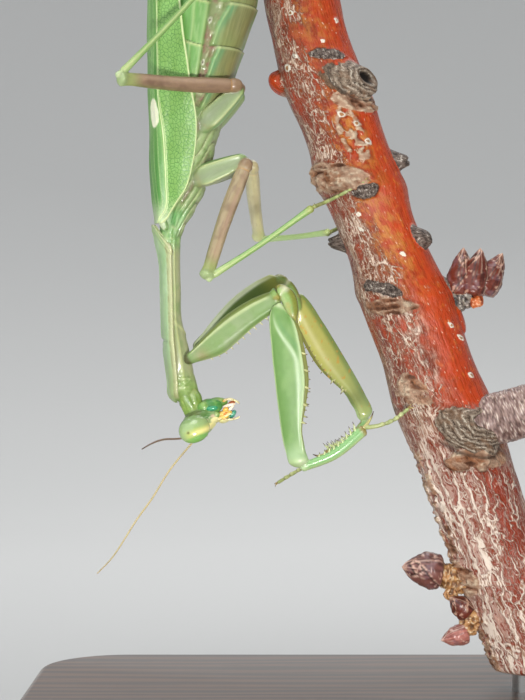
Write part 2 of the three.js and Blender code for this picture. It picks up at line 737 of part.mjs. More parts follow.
for (const [name, side] of Object.entries(SIDES)) {
  const cercus = limb({
    path: [at(-17.2, side * 1.9, 111.2), at(-17.8, side * 2.6, 112.4), at(-18.2, side * 2.9, 113.6)],
    rows: [[0, 0.35, 0.35, 0.35], [0.5, 0.4, 0.35, 0.35], [1, 0.26, 0.26, 0.26]],
    flexor: at(1, 0, 0),
    sides: 5,
    rings: 5,
    dome: 0.4,
  });
  add(`tegmen_${name}`, wing(side), MATERIALS.wing);
  add(`cercus_${name}`, solid(cercus), MATERIALS.body);
}

for (const leg of LEGS) {
  const [coxa, femur, tibia, tarsus] = legSolids(leg);
  const fore = leg.shape === FORE;
  add(`coxa_${leg.name}`, coxa, MATERIALS.foreleg);
  add(`femur_${leg.name}`, femur, fore ? MATERIALS.foreleg : MATERIALS.thigh);
  add(`tibia_${leg.name}`, tibia, fore ? MATERIALS.foreleg : MATERIALS.shank);
  add(`tarsus_${leg.name}`, tarsus, MATERIALS.shank);
}

add('branch', branch(), MATERIALS.bark);
add('stand_base', base(), MATERIALS.wood);
add('stand_rod', rod(), MATERIALS.metal);

export default mantis;
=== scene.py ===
"""A life-size praying mantis on a cut branch and a display stand: the looks around the CAD frame.

Lengths are millimetres until a mesh is made. +Z is up. The mantis hangs head down: front -Z,
back -X, belly +X, its left -Y and its right +Y.
"""

import json
import math

import bpy
import numpy as np
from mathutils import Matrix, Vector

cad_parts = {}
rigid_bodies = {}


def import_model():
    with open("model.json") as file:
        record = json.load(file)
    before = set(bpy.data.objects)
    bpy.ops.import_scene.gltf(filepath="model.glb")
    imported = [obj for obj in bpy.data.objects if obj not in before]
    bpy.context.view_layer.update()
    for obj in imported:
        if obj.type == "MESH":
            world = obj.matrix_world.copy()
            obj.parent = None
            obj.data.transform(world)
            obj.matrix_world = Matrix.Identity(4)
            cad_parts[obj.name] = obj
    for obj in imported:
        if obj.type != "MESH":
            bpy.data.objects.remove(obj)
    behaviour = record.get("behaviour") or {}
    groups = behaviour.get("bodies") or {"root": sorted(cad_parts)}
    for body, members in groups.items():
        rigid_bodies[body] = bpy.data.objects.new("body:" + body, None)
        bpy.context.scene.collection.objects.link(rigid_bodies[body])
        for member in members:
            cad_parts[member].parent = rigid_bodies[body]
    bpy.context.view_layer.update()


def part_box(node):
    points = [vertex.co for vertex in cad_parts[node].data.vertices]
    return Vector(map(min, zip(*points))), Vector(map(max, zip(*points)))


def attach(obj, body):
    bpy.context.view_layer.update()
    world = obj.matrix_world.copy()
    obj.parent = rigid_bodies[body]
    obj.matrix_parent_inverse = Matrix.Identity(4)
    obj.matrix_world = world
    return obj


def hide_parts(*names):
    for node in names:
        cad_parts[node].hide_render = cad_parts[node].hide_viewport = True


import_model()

MM = 0.001
LEFT, RIGHT = -1, 1
SIDES = {"left": LEFT, "right": RIGHT}
SEED = 7

# ---- Numbers ----


def vec(*values):
    return np.array(values, float)


def xyz(x, y, z):
    return np.stack(np.broadcast_arrays(x, y, z), -1)


def unit(v):
    return v / np.maximum(np.linalg.norm(v, axis=-1, keepdims=True), 1e-12)


def smooth(rows):
    """Cubic values between rows of [position, ...values], as a function of an array."""
    rows = np.array(rows, float)
    knots, values = rows[:, 0], rows[:, 1:]
    last = len(knots) - 1

    def at(position):
        t = np.clip(np.asarray(position, float), knots[0], knots[-1])
        i = np.clip(np.searchsorted(knots, t, side="right"), 1, last)
        before, after = i - 2, i + 1
        t0, t1 = knots[i - 1], knots[i]
        start, end = before < 0, after > last
        before = np.where(start, i, before)
        after = np.where(end, i - 1, after)
        half = (t1 - t0) / 2
        wp = half / (t0 - np.where(start, t1, knots[before]))
        wn = half / (np.where(end, t0, knots[after]) - t1)
        p = (t - t0) / (t1 - t0)
        weights = (
            -wp * p**3 + 2 * wp * p**2 - wp * p,
            (1 + wp) * p**3 + (-1.5 - 2 * wp) * p**2 + (-0.5 + wp) * p + 1,
            (-1 - wn) * p**3 + (1.5 + wn) * p**2 + 0.5 * p,
            wn * p**3 - wn * p**2,
        )
        rings = (before, i - 1, i, after)
        return sum(w[..., None] * values[k] for w, k in zip(weights, rings))

    return at


def ramp(x, low, high):
    """Smooth step from 0 at low to 1 at high; it falls when low is above high."""
    t = np.clip((x - low) / (high - low), 0, 1)
    return t * t * (3 - 2 * t)


def rounded(reach):
    """A quarter circle: 0 at an end, 1 where reach is 1 and beyond."""
    return np.sqrt(np.clip(1 - (1 - np.clip(reach, 0, 1)) ** 2, 0, 1))


def most(*fields):
    """The largest of several fields at each point."""
    top = fields[0]
    for field in fields[1:]:
        top = np.maximum(top, field)
    return top


def circle(count, start=0.0, end=2 * math.pi):
    """Even turns from start up to, but not at, the end."""
    return np.linspace(start, end, count, endpoint=False)


def columns(values):
    """The values of a curve as columns, one array for each."""
    return [v[:, None] for v in values.T]


def hill(x, centre, width):
    """1 at the centre, falling off smoothly to each side."""
    return np.exp(-(((x - centre) / width) ** 2))


def turned(angle, centre):
    """Difference of two angles in degrees, from -180 to 180."""
    return (angle - centre + 180) % 360 - 180


def keel(angle, centre, width):
    """A hill round an angle in degrees."""
    return hill(turned(angle, centre), 0, width)


def band(angle, centre, low, high):
    """A ramp over the degrees away from an angle."""
    return ramp(np.abs(turned(angle, centre)), low, high)


def hashed(cell, seed):
    """A number from 0 to 1 for each whole-numbered cell."""
    c = cell.astype(np.int64)
    h = (c[..., 0] * 374761393 + c[..., 1] * 668265263 + c[..., 2] * 1440662683 + seed * 97463477)
    h = ((h & 0xFFFFFFFF) ^ ((h & 0xFFFFFFFF) >> 13)) * 1274126177 & 0xFFFFFFFF
    return ((h ^ (h >> 16)) & 0xFFFFF) / 0xFFFFF


CORNERS = [vec(a, b, c) for a in (0, 1) for b in (0, 1) for c in (0, 1)]


def noise(points, scale, seed=0, octaves=3):
    """Smooth noise of about -1 to 1, with features `scale` millimetres across. Each use of it
    has a seed of its own."""
    total = np.zeros(points.shape[:-1])
    for octave in range(octaves):
        p = points / scale * 2**octave + 31.7 * octave
        base = np.floor(p)
        f = p - base
        f = f * f * (3 - 2 * f)
        value = 0
        for corner in CORNERS:
            weight = np.prod(np.where(corner > 0, f, 1 - f), axis=-1)
            value = value + weight * hashed(base + corner, SEED + seed + octave)
        total += (2 * value - 1) / 2**octave
    return total


def grain(across, along, seed):
    """Noise over two ways of a surface, each given in widths of its features."""
    return noise(xyz(across, along, 0), 1.0, seed)


def cells(points, scale, seed=0):
    """Distance to the nearest cell wall, in cell widths, and each cell's own number."""
    p = points / scale
    base = np.floor(p)
    found = []
    for x in (-1, 0, 1):
        for y in (-1, 0, 1):
            for z in (-1, 0, 1):
                cell = base + vec(x, y, z)
                jitter = [hashed(cell, SEED + seed + 11 * axis) for axis in range(3)]
                middle = cell + np.stack(jitter, -1)
                found.append((np.linalg.norm(middle - p, axis=-1), middle, jitter[0]))
    distance = np.stack([f[0] for f in found])
    order = np.argpartition(distance, 1, axis=0)[:2]
    pick = np.arange(distance[0].size)
    distance = distance.reshape(len(found), -1)
    order = order.reshape(2, -1)
    one, two = order[0], order[1]
    swap = distance[one, pick] > distance[two, pick]
    one, two = np.where(swap, two, one), np.where(swap, one, two)
    middles = np.stack([f[1] for f in found]).reshape(len(found), -1, 3)
    apart = np.linalg.norm(middles[two, pick] - middles[one, pick], axis=-1)
    wall = (distance[two, pick] ** 2 - distance[one, pick] ** 2) / (2 * apart)
    own = np.stack([f[2] for f in found]).reshape(len(found), -1)[one, pick]
    shape = points.shape[:-1]
    return wall.reshape(shape), own.reshape(shape)


# ---- Colours ----


def colour(tone):
    """A linear colour from its hex name. Any other colour stays as it is."""
    if not isinstance(tone, str):
        return tone
    c = vec(*[int(tone[i : i + 2], 16) / 255 for i in (0, 2, 4)])
    return np.where(c <= 0.04045, c / 12.92, ((c + 0.055) / 1.055) ** 2.4)


def mix(a, b, mask):
    """From colour a where the mask is 0 to colour b where it is 1."""
    a, b = colour(a), colour(b)
    return a + (b - a) * np.clip(mask, 0, 1)[..., None]


def coats(tint, *layers):
    """A colour after each (tone, mask) layer is laid over it in turn, the last one on top."""
    for tone, mask in layers:
        tint = mix(tint, tone, mask)
    return tint


# ---- Curves and solids ----


class Walk:
    """A smooth curve through points, walked by length."""

    def __init__(self, points, steps=40):
        p = np.array(points, float)
        p = np.vstack([2 * p[0] - p[1], p, 2 * p[-1] - p[-2]])
        line = []
        for a, b, c, d in zip(p, p[1:], p[2:], p[3:]):
            da, db, dc = (math.sqrt(np.linalg.norm(v)) for v in (b - a, c - b, d - c))
            tb = ((b - a) / da - (c - a) / (da + db) + (c - b) / db) * db
            tc = ((c - b) / db - (d - b) / (db + dc) + (d - c) / dc) * db
            u = np.linspace(0, 1, steps, endpoint=False)[:, None]
            line.append(
                (2 * b - 2 * c + tb + tc) * u**3 + (3 * c - 3 * b - 2 * tb - tc) * u**2 + tb * u + b,
            )
        self.line = np.vstack([*line, p[-2]])
        legs = np.linalg.norm(np.diff(self.line, axis=0), axis=1)
        self.reach = np.concatenate([[0], np.cumsum(legs)])
        self.length = self.reach[-1]

    def at(self, distance):
        return np.stack([np.interp(distance, self.reach, self.line[:, i]) for i in range(3)], -1)

    def way(self, distance, span=0.3):
        d = np.clip(distance, 0, self.length)
        back, on = np.maximum(d - span, 0), np.minimum(d + span, self.length)
        return unit(self.at(on) - self.at(back))


def added(name, data):
    """A new object of the scene."""
    thing = bpy.data.objects.new(name, data)
    bpy.context.scene.collection.objects.link(thing)
    return thing


def closed(rings, start=None, end=None):
    """Vertices and faces of a closed body through rings of shape (rows, columns, 3)."""
    rows, columns = rings.shape[:2]
    start = rings[0].mean(0) if start is None else start
    end = rings[-1].mean(0) if end is None else end
    row = np.arange(rows - 1)[:, None] * columns
    i, j = np.arange(columns), (np.arange(columns) + 1) % columns
    quads = np.stack([row + i, row + j, row + columns + j, row + columns + i], -1).reshape(-1, 4)
    first, last = rows * columns, rows * columns + 1
    top = (rows - 1) * columns
    fans = np.vstack([
        xyz(np.full(columns, first), j, i),
        xyz(np.full(columns, last), top + i, top + j),
    ])
    verts = np.vstack([rings.reshape(-1, 3), start, end])
    return verts, [quads, fans]


def spread(field):
    """A ring field with values for the two end points added."""
    flat = field.reshape(-1, *field.shape[2:])
    return np.concatenate([flat, field[:1].mean(1), field[-1:].mean(1)])


def volume(verts, faces):
    """Six times the signed volume, whose sign tells which way the faces point."""
    total = 0
    for group in faces:
        a = verts[group[:, 0]]
        for k in range(1, group.shape[1] - 1):
            total += np.einsum("ij,ij->i", a, np.cross(verts[group[:, k]], verts[group[:, k + 1]])).sum()
    return total


def body(name, verts, faces, fields=None, material=None):
    """A Blender object from arrays, its faces turned outwards. Fields become attributes."""
    if volume(verts, faces) < 0:
        faces = [group[:, ::-1] for group in faces]
    mesh = bpy.data.meshes.new(name)
    mesh.from_pydata((verts * MM).tolist(), [], [f for group in faces for f in group.tolist()])
    mesh.polygons.foreach_set("use_smooth", np.ones(len(mesh.polygons), bool))
    for key, values in (fields or {}).items():
        if values.ndim == 1:
            mesh.attributes.new(key, "FLOAT", "POINT").data.foreach_set("value", values.astype(np.float32))
        elif key == "tint":
            rgba = np.concatenate([np.clip(values, 0, 1), np.ones((len(values), 1))], 1)
            data = mesh.attributes.new(key, "FLOAT_COLOR", "POINT").data
            data.foreach_set("color", rgba.astype(np.float32).ravel())
        else:
            data = mesh.attributes.new(key, "FLOAT_VECTOR", "POINT").data
            data.foreach_set("vector", values.astype(np.float32).ravel())
    if material:
        mesh.materials.append(material)
    return added(name, mesh)


def painted(name, rings, tint, rough, material=None, ends=()):
    """A closed body through rings, with its colour and roughness at each point."""
    verts, faces = closed(rings, *ends)
    fields = {"tint": spread(tint), "rough": spread(np.broadcast_to(rough, tint.shape[:2]))}
    return body(name, verts, faces, fields, material or SKIN)


def there_and_back(outer, inner=None):
    """Rings that run along one side of a sheet and back along the other."""
    inner = outer if inner is None else inner
    return np.concatenate([outer, inner[:, ::-1]], 1)


def power(values, full):
    """Sines and cosines squared off (full below 1) or left round (1)."""
    return np.sign(values) * np.abs(values) ** full


COLOUR_ROUNDS, SOFTEN_ROUNDS, SOFTEN_REACH = 5, 8, 6
SOFTENED, JOINT_PAINTED_SHADE = 0.5, 0.16


def healed(mesh):
    """The points made where parts meet take the colours round them, the joint is softened, and painted
    shade darkens the colour round it.
    """
    count = len(mesh.vertices)
    edges = np.empty(len(mesh.edges) * 2, np.int32)
    mesh.edges.foreach_get("vertices", edges)
    edges = edges.reshape(-1, 2)
    here, there = np.concatenate([edges, edges[:, ::-1]]).T

    def read(data, key, width):
        values = np.empty(count * width, np.float32)
        data.foreach_get(key, values)
        return values.reshape(count, width).astype(float)

    def around(values, weight):
        total = np.stack([np.bincount(here, (v * weight)[there], count) for v in values.T], 1)
        return total / np.maximum(np.bincount(here, weight[there], count), 1e-9)[:, None]

    tints, roughs = mesh.attributes["tint"].data, mesh.attributes["rough"].data
    looks = np.concatenate([read(tints, "color", 4), read(roughs, "value", 1)], 1)
    place = read(mesh.vertices, "co", 3)
    old = read(mesh.attributes["piece"].data, "value", 1)[:, 0]
    near = 1 - old
    for _ in range(COLOUR_ROUNDS):
        looks = np.where(old[:, None] > 0, looks, around(looks, old))
        old = np.maximum(old, np.bincount(here, old[there], count) > 0)
    for _ in range(SOFTEN_REACH):
        grown = near.copy()
        np.maximum.at(grown, here, near[there] - 1 / SOFTEN_REACH)
        near = grown
    weight, even = SOFTENED * near[:, None], np.ones(count)
    for _ in range(SOFTEN_ROUNDS):
        place = place + weight * (around(place, even) - place)
        looks = looks + weight * (around(looks, even) - looks)
    # Painted shade: the colour darkens towards where parts meet, as if shade fell in the crease.
    looks[:, :3] *= 1 - JOINT_PAINTED_SHADE * near[:, None] ** 2
    mesh.vertices.foreach_set("co", place.astype(np.float32).ravel())
    tints.foreach_set("color", looks[:, :4].astype(np.float32).ravel())
    roughs.foreach_set("value", looks[:, 4].astype(np.float32))
    mesh.attributes.remove(mesh.attributes["piece"])
    mesh.update()


def united(name, parts):
    """One closed mesh from overlapping closed parts, which are used up."""
    first, rest = parts[0], parts[1:]
    for part in parts:
        piece = part.data.attributes.new("piece", "FLOAT", "POINT")
        piece.data.foreach_set("value", np.ones(len(part.data.vertices), np.float32))
    group = bpy.data.collections.new(name + "_parts")
    bpy.context.scene.collection.children.link(group)
    for part in rest:
        bpy.context.scene.collection.objects.unlink(part)
        group.objects.link(part)
    join = first.modifiers.new("join", "BOOLEAN")
    join.operation, join.solver, join.operand_type = "UNION", "MANIFOLD", "COLLECTION"
    join.collection = group
    join.material_mode = "TRANSFER"
    depsgraph = bpy.context.evaluated_depsgraph_get()
    mesh = bpy.data.meshes.new_from_object(first.evaluated_get(depsgraph))
    mesh.name = name
    healed(mesh)
    thing = added(name, mesh)
    for part in parts:
        bpy.data.objects.remove(part)
    bpy.data.collections.remove(group)
    return thing


def gathered(name, parts):
    """Several bodies in one object, each still a closed shell of its own."""
    with bpy.context.temp_override(active_object=parts[0], selected_editable_objects=parts):
        bpy.ops.object.join()
    parts[0].name = parts[0].data.name = name
    return parts[0]


def finished(thing, slot, *nodes):
    """The piece rides on the body and shows in place of the CAD nodes. Its slot argument is not used."""
    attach(thing, "root")
    if nodes:
        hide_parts(*nodes)
    return thing


def tube(*rows):
    """Rows of a limb that is round: [t, half width, back, front] from (t, radius)."""
    return [[t, radius, radius, radius] for t, radius in rows]


class Spot:
    """Where a limb's surface points lie: t and mm along it, and the angle round it in degrees,
    which is 0 on the side it bends towards, 90 on the outer side and -90 on the inner side."""

    def keel(self, centre, width):
        return keel(self.angle, centre, width)

    def band(self, centre, low, high):
        return band(self.angle, centre, low, high)


def limb(path, rows, flexor, side=LEFT, step=0.15, sides=28, dome=0.8, full=1.0, lift=None,
         shift=None, paint=None, name="limb", material=None):
    """A closed body along a path. Its rows are [t, half width, back, front]."""
    walk = Walk(path)
    a, b = 0, walk.length
    rounding = np.linspace(0, math.pi / 2, 9)[1:]
    cap = dome * (1 - np.cos(rounding))
    count = max(3, int((b - a - 2 * dome) / step))
    mm = np.concatenate([a + cap, np.linspace(a + dome, b - dome, count)[1:-1], b - cap[::-1]])
    reach = np.clip(np.minimum(mm - a, b - mm) / dome, 0, 1)
    taper = np.sqrt(1 - (1 - reach) ** 2)[:, None]
    centre, tangent = walk.at(mm), walk.way(mm)
    forward = unit(flexor - tangent * (tangent @ flexor)[:, None])
    sideways = np.cross(tangent, forward)
    half, back, front = columns(smooth(rows)(mm / walk.length))
    phi = circle(sides, -math.pi, math.pi)[None, :]
    x, z = power(np.sin(phi), full), power(np.cos(phi), full)
    depth = np.where(z > 0, front, back)
    ways = sideways[:, None] * (x * half)[..., None] + forward[:, None] * (z * depth)[..., None]
    s = Spot()
    s.t, s.mm = (np.broadcast_to(v[:, None], ways.shape[:2]) for v in (mm / walk.length, mm - a))
    s.left = b - a - s.mm
    outer = np.sign(sideways[:, 1].mean() * side) or 1
    s.angle = np.broadcast_to(np.degrees(phi) * outer, ways.shape[:2])
    s.p = centre[:, None] + ways * taper[..., None]
    if lift:
        s.p = s.p + unit(ways) * (lift(s) * taper)[..., None]
    if shift:
        s.p = s.p + tangent[:, None] * shift(s)[..., None]
    return painted(name, s.p, *paint(s), material, (walk.at(a), walk.at(b)))


# ---- Materials ----


class Value:
    """A node's output. + - * are Math nodes, abs is one, and a | b is the larger of two."""

    def __init__(self, shade, socket):
        self.shade, self.socket = shade, socket

    def __add__(self, other):
        return self.shade.math("ADD", self, other)

    def __sub__(self, other):
        return self.shade.math("SUBTRACT", self, other)

    def __rsub__(self, other):
        return self.shade.math("SUBTRACT", other, self)

    def __mul__(self, other):
        return self.shade.math("MULTIPLY", self, other)

    def __or__(self, other):
        return self.shade.math("MAXIMUM", self, other)

    def __abs__(self):
        return self.shade.math("ABSOLUTE", self, 0.0)

    def line(self, slope, start):
        return self.shade.math("MULTIPLY_ADD", self, slope, start)

    def ramp(self, low, high):
        inputs = {"Value": self, "From Min": low, "From Max": high}
        return self.shade.add("MapRange", inputs, "Result", interpolation_type="SMOOTHSTEP")

    def scaled(self, *factors):
        return self.shade.add("VectorMath", {0: self, 1: factors}, operation="MULTIPLY")


class Shade:
    """Builds one material's node tree."""

    def __init__(self, name):
        self.material = bpy.data.materials.new(name)
        self.material.use_nodes = True
        self.tree = self.material.node_tree
        self.shader = self.tree.nodes["Principled BSDF"]

    def put(self, target, value):
        if isinstance(value, Value):
            self.tree.links.new(value.socket, target)
        else:
            target.default_value = value

    def add(self, kind, inputs=(), output=0, **settings):
        node = self.tree.nodes.new("ShaderNode" + kind)
        for key, value in settings.items():
            setattr(node, key, value)
        for key, value in dict(inputs).items():
            self.put(node.inputs[key], value)
        return Value(self, node.outputs[output])

    def math(self, operation, a, b=0.0, c=0.0):
        return self.add("Math", {0: a, 1: b, 2: c}, operation=operation)

    def mix(self, a, b, factor):
        a, b = (x if isinstance(x, Value) else (*colour(x), 1) for x in (a, b))
        return self.add("Mix", {0: factor, 6: a, 7: b}, 2, data_type="RGBA")

    def coats(self, tint, *layers):
        for tone, factor in layers:
            tint = self.mix(tint, tone, factor)
        return tint

    def field(self, name, output="Fac"):
        return self.add("Attribute", (), output, attribute_name=name)

    def noise(self, vector, scale, detail=3.0, rough=0.5):
        inputs = {"Vector": vector, "Scale": scale, "Detail": detail, "Roughness": rough}
        return self.add("TexNoise", inputs, "Fac")

    def walls(self, vector, scale, dimensions="3D"):
        settings = {"feature": "DISTANCE_TO_EDGE", "voronoi_dimensions": dimensions}
        return self.add("TexVoronoi", {"Vector": vector, "Scale": scale}, "Distance", **settings)

    def bent(self, vector, stretched, wobble, **noise):
        """A stretched vector pushed about by noise."""
        bend = self.add("TexNoise", {"Vector": vector, **noise}, "Color")
        return self.add("VectorMath", {0: bend, 1: wobble, 2: stretched}, operation="MULTIPLY_ADD")

    def place(self):
        return self.add("TexCoord", (), "Object")

    def bump(self, height, distance, strength=1.0):
        return self.add("Bump", {"Height": height, "Distance": distance, "Strength": strength}, "Normal")

    def tinted(self, tint, value):
        return self.add("HueSaturation", {"Color": tint, "Value": value})

    def done(self, **inputs):
        for key, value in inputs.items():
            self.put(self.shader.inputs[key.replace("_", " ")], value)
        return self.material


def cuticle(name, grain=0.00012, relief=0.000012, mottle=0.14, coat=0.0):
    """Insect shell: painted by the mesh's tint, with a fine grain."""
    m = Shade(name)
    place = m.place()
    fine = m.noise(place, 1 / grain, 4)
    broad = m.noise(place, 1 / 0.0011, 3)
    tint = m.field("tint", "Color")
    spread = fine.line(mottle, 1 - mottle / 2)
    spread = broad.line(mottle, spread - mottle / 2)
    value = m.tinted(tint, spread)
    rough = fine.line(0.16, m.field("rough") - 0.08)
    normal = m.bump(fine + broad * 2.0, relief)
    return m.done(
        Base_Color=value, Roughness=rough, Normal=normal, Subsurface_Weight=0.12,
        Subsurface_Radius=(0.4, 0.5, 0.2), Subsurface_Scale=0.0006, Coat_Weight=coat,
        Coat_Roughness=0.12,
    )


# ---- Colours of the animal ----

WING_GREEN, WING_DEEP, WING_STREAK = "86b45c", "5f9a48", "a5cf86"
VEIN_CREAM, STIGMA_CREAM = "e6f2b8", "f6f8d8"
TERGITE, TERGITE_STREAK = "74ab58", "a9c983"
STERNITE, STERNITE_EDGE, STERNITE_LOW = "8f9560", "74a873", "97a866"
SUTURE = "d8dc9d"
PRONOTUM_GREEN, PRONOTUM_LOW, MARGIN = "a3bf90", "9fb478", "b3b583"
TIBIA_GREEN, TIBIA_PALE, KNEE_PALE = "8db368", "b9cd8c", "c6dba9"
TARSUS_OLIVE = "9aa667"
DARK_TIP, PINK = "4a3420", "b07f66"

# ---- Trunk: thorax and abdomen ----

TRUNK = smooth([
    [63.4, -18.95, 0.9, 1.4], [66, -18.3, 1.6, 2.2], [69, -17.6, 2.6, 3.1], [73, -17.2, 3.3, 3.7],
    [77, -16.7, 3.8, 4.2], [82, -16.1, 4.6, 5.0], [86, -15.5, 5.2, 5.7], [90, -14.9, 5.9, 6.2],
    [94, -14.3, 6.4, 6.5], [98, -14.3, 6.1, 6.4], [102, -14.8, 5.2, 5.7], [106, -15.4, 3.9, 4.5],
    [109.5, -15.9, 2.4, 2.9], [112, -16.2, 1.0, 1.3],
])
TRUNK_LOW, THORAX_END, TRUNK_HIGH = 63.5, 79.9, 112.0
SEAMS = [79.9, 82.6, 87.6, 93.0, 98.0, 102.4, 106.2, 109.4, 112.6]
TERGITE_EDGE = 94


def trunk_point(height, angle, lift=0.0):
    """A point of the trunk's surface. The angle is 0 at mid-back and grows towards the left."""
    middle, deep, wide = TRUNK(height).T
    turn = np.radians(angle)
    across, out = power(np.cos(turn), 0.92), power(np.sin(turn), 0.92)
    x = middle.T - (deep.T + lift) * across
    y = -(wide.T + lift) * out
    return xyz(x, y, np.broadcast_to(height, x.shape))


def abdomen_relief(z, a, p):
    """Lift and colour of the abdomen. a is the angle from mid-back, 0 to 180."""
    slant = ramp(a, 60, 100)
    level = z - 0.9 * (1 - slant)
    along = np.zeros_like(z)
    for start, end in zip(SEAMS, SEAMS[1:]):
        inside = (level >= start) & (level < end)
        along = np.where(inside, (level - start) / (end - start), along)
    start = 103 + 12 * along + 2 * noise(p, 3.0, 6)
    tergite, sternite = ramp(a, TERGITE_EDGE + 1.5, TERGITE_EDGE - 1.5), ramp(a - start, -1.5, 1.5)
    membrane = 1 - tergite - sternite
    step = 0.22 * along**2 - 0.08 - 0.16 * ramp(along, 0.05, 0.0)
    crease = grain(a / 6, z / 0.9, 5)
    lift = (tergite + sternite) * step + membrane * (-0.55 + 0.16 * crease)
    lift = lift + 0.05 * keel(a, 90.5, 1.8) * tergite - 0.10 * keel(a, 79, 1.2)
    lift = lift + 0.12 * keel(a, 180, 3.5) + 0.08 * hill(a - start, 3, 2.5)
    streaks = ramp(noise(p * vec(1, 1, 0.12), 0.5, 9), 0.1, 0.9)
    tint = coats(TERGITE,
        (TERGITE_STREAK, 0.5 * streaks),
        (TERGITE_STREAK, 0.8 * keel(a, 79, 1.3) + 0.9 * keel(a, 91.5, 1.5)),
    )
    pink = ramp(noise(p, 1.1, 3), -0.3, 0.7)
    soft = coats("8d9a68", ("96725f", pink), ("c5cba2", 0.7 * ramp(crease, 0.25, 0.7)))
    tint = mix(tint, soft, membrane)
    plate = coats(STERNITE_EDGE,
        (STERNITE, ramp(a - start, 5, 17)),
        (STERNITE_LOW, ramp(along, 0.55, 0.1) * 0.6),
        (STERNITE_EDGE, 0.7 * ramp(along, 0.9, 1.0) + 0.5 * ramp(a, 165, 172)),
        # The pale line on the ridge by the plate's edge is painted sheen.
        (TERGITE_STREAK, 0.8 * keel(a, 180, 2.5) + 0.6 * hill(a - start, 3, 1.5)),
        ("a8a66a", 0.5 * ramp(noise(p * vec(1, 1, 0.5), 1.6, 12), 0, 0.8) * ramp(a - start, 10, 20)),
    )
    lines = grain(a / 1.6, z / 3.0, 14)
    plate = coats(plate,
        ("7d8450", 0.4 * ramp(lines, 0.1, 0.8)),
        ("b4b682", 0.35 * ramp(lines, -0.2, -0.8)),
    )
    tint = mix(tint, plate, sternite)
    rim = hill(along, 0.965, 0.03)
    tint = mix(tint, SUTURE, 0.7 * rim * (1 - membrane))
    gap = ramp(along, 0.03, 0.0) * (along > 0) + ramp(along, 0.995, 1.0)
    tint = mix(tint, "4c5a34", 0.85 * gap * (1 - membrane))
    for start, end in zip(SEAMS[1:], SEAMS[2:]):
        hole = start + 0.6 * (end - start)
        reach = np.hypot((a - 98) / 2.2, (z - hole) / 0.3)
        tint = coats(tint, ("d9dbc0", 0.8 * ramp(reach, 1.5, 1.0)), ("54402f", ramp(reach, 0.7, 0.4)))
        lift = lift + 0.12 * hill(reach, 1.0, 0.35) - 0.10 * ramp(reach, 0.7, 0.2)
    return lift, tint


def thorax_relief(z, a, p):
    """Lift and colour of the thorax: oblique side plates between pale sutures."""
    level = (z - 0.115 * (np.clip(a, 60, 150) - 90) + 0.6 * noise(p, 2.6, 19)) / 2.7 + 0.4
    share, plate = level - np.floor(level), np.floor(level)
    bulge = np.sin(math.pi * share)
    folds = grain(a / 24 + z * 0.3, z / 3.2, 27)
    lift = 0.20 * bulge - 0.12 + 0.04 * folds
    lift = lift + 0.7 * ramp(z, 68.0, 66.0) * ramp(a, 70, 40) * ramp(z, 64.2, 65.2)
    tint = mix("86a565", "a0b87c", ramp(folds, -0.4, 0.6))
    grey = (np.mod(plate, 3) == 1) * ramp(bulge, 0.35, 0.8) * ramp(a, 88, 98) * ramp(a, 150, 138)
    tint = mix(tint, "8a7f64", 0.85 * grey)
    creases = noise(p * vec(1, 1, 1.6), 0.7, 30)
    tint = coats(tint,
        ("6f7d4a", 0.55 * ramp(creases, 0.15, 0.6)),
        ("c3cfa0", 0.35 * ramp(creases, -0.25, -0.7)),
    )
    lift = lift + 0.05 * creases
    tint = coats(tint,
        ("b9c892", 0.7 * hill(share, 0.8, 0.07)),
        ("d4dba8", 0.85 * hill(share, 0.91, 0.035)),
        # Painted shade: a dark thin line in the groove between plates, beside each pale suture.
        ("56703c", 0.9 * hill(share, 0.99, 0.03) + 0.7 * hill(share, 0.02, 0.03)),
        ("9a7d62", 0.5 * hill(share, 0.05, 0.06) * ramp(noise(p, 1.2, 29), 0, 0.4)),
    )
    fresh = ramp(z, 68.0, 66.4) * ramp(a, 140, 120)
    soft = mix("5fa658", "a9cf95", ramp(folds, -0.1, 0.6))
    tint = coats(tint,
        (soft, 0.8 * fresh),
        # Painted glint: a pale spot on the soft green fold at the front.
        ("e2ead0", 0.7 * hill(np.hypot((z - 66.6) / 0.8, (a - 50) / 12), 0, 1)),
        ("8f9a5c", 0.5 * ramp(a, 150, 175)),
    )
    return lift, tint


def trunk():
    """Thorax and abdomen in one body, which meet at THORAX_END."""
    z = np.arange(TRUNK_LOW, TRUNK_HIGH, 0.16)[:, None]
    angle = circle(192, -180, 180)[None, :]
    a = np.abs(angle) + 0 * z
    zz = z + 0 * angle
    p = trunk_point(zz, angle)
    low, low_tint = thorax_relief(zz, a, p)
    high, high_tint = abdomen_relief(zz, a, p)
    split = ramp(zz - 1.5 * ramp(a, 150, 90), THORAX_END - 1.3, THORAX_END - 0.9)
    lift = low + (high - low) * split
    tint = mix(low_tint, high_tint, split)
    beyond = np.maximum((zz - 111.2) / 0.9, 0) + np.maximum((64.2 - zz) / 0.75, 0)
    ends = np.sqrt(np.clip(1 - beyond**2, 0, 1))
    surface = trunk_point(zz, angle, lift - 0.12)
    axis = xyz(TRUNK(zz)[..., 0], 0 * zz, zz)
    surface = axis + (surface - axis) * ends[..., None]
    return painted("trunk", surface, tint, 0.44 + 0.10 * (1 - split) + 0.16 * hill(a, 98, 7))


# ---- Prothorax, pronotum and neck ----

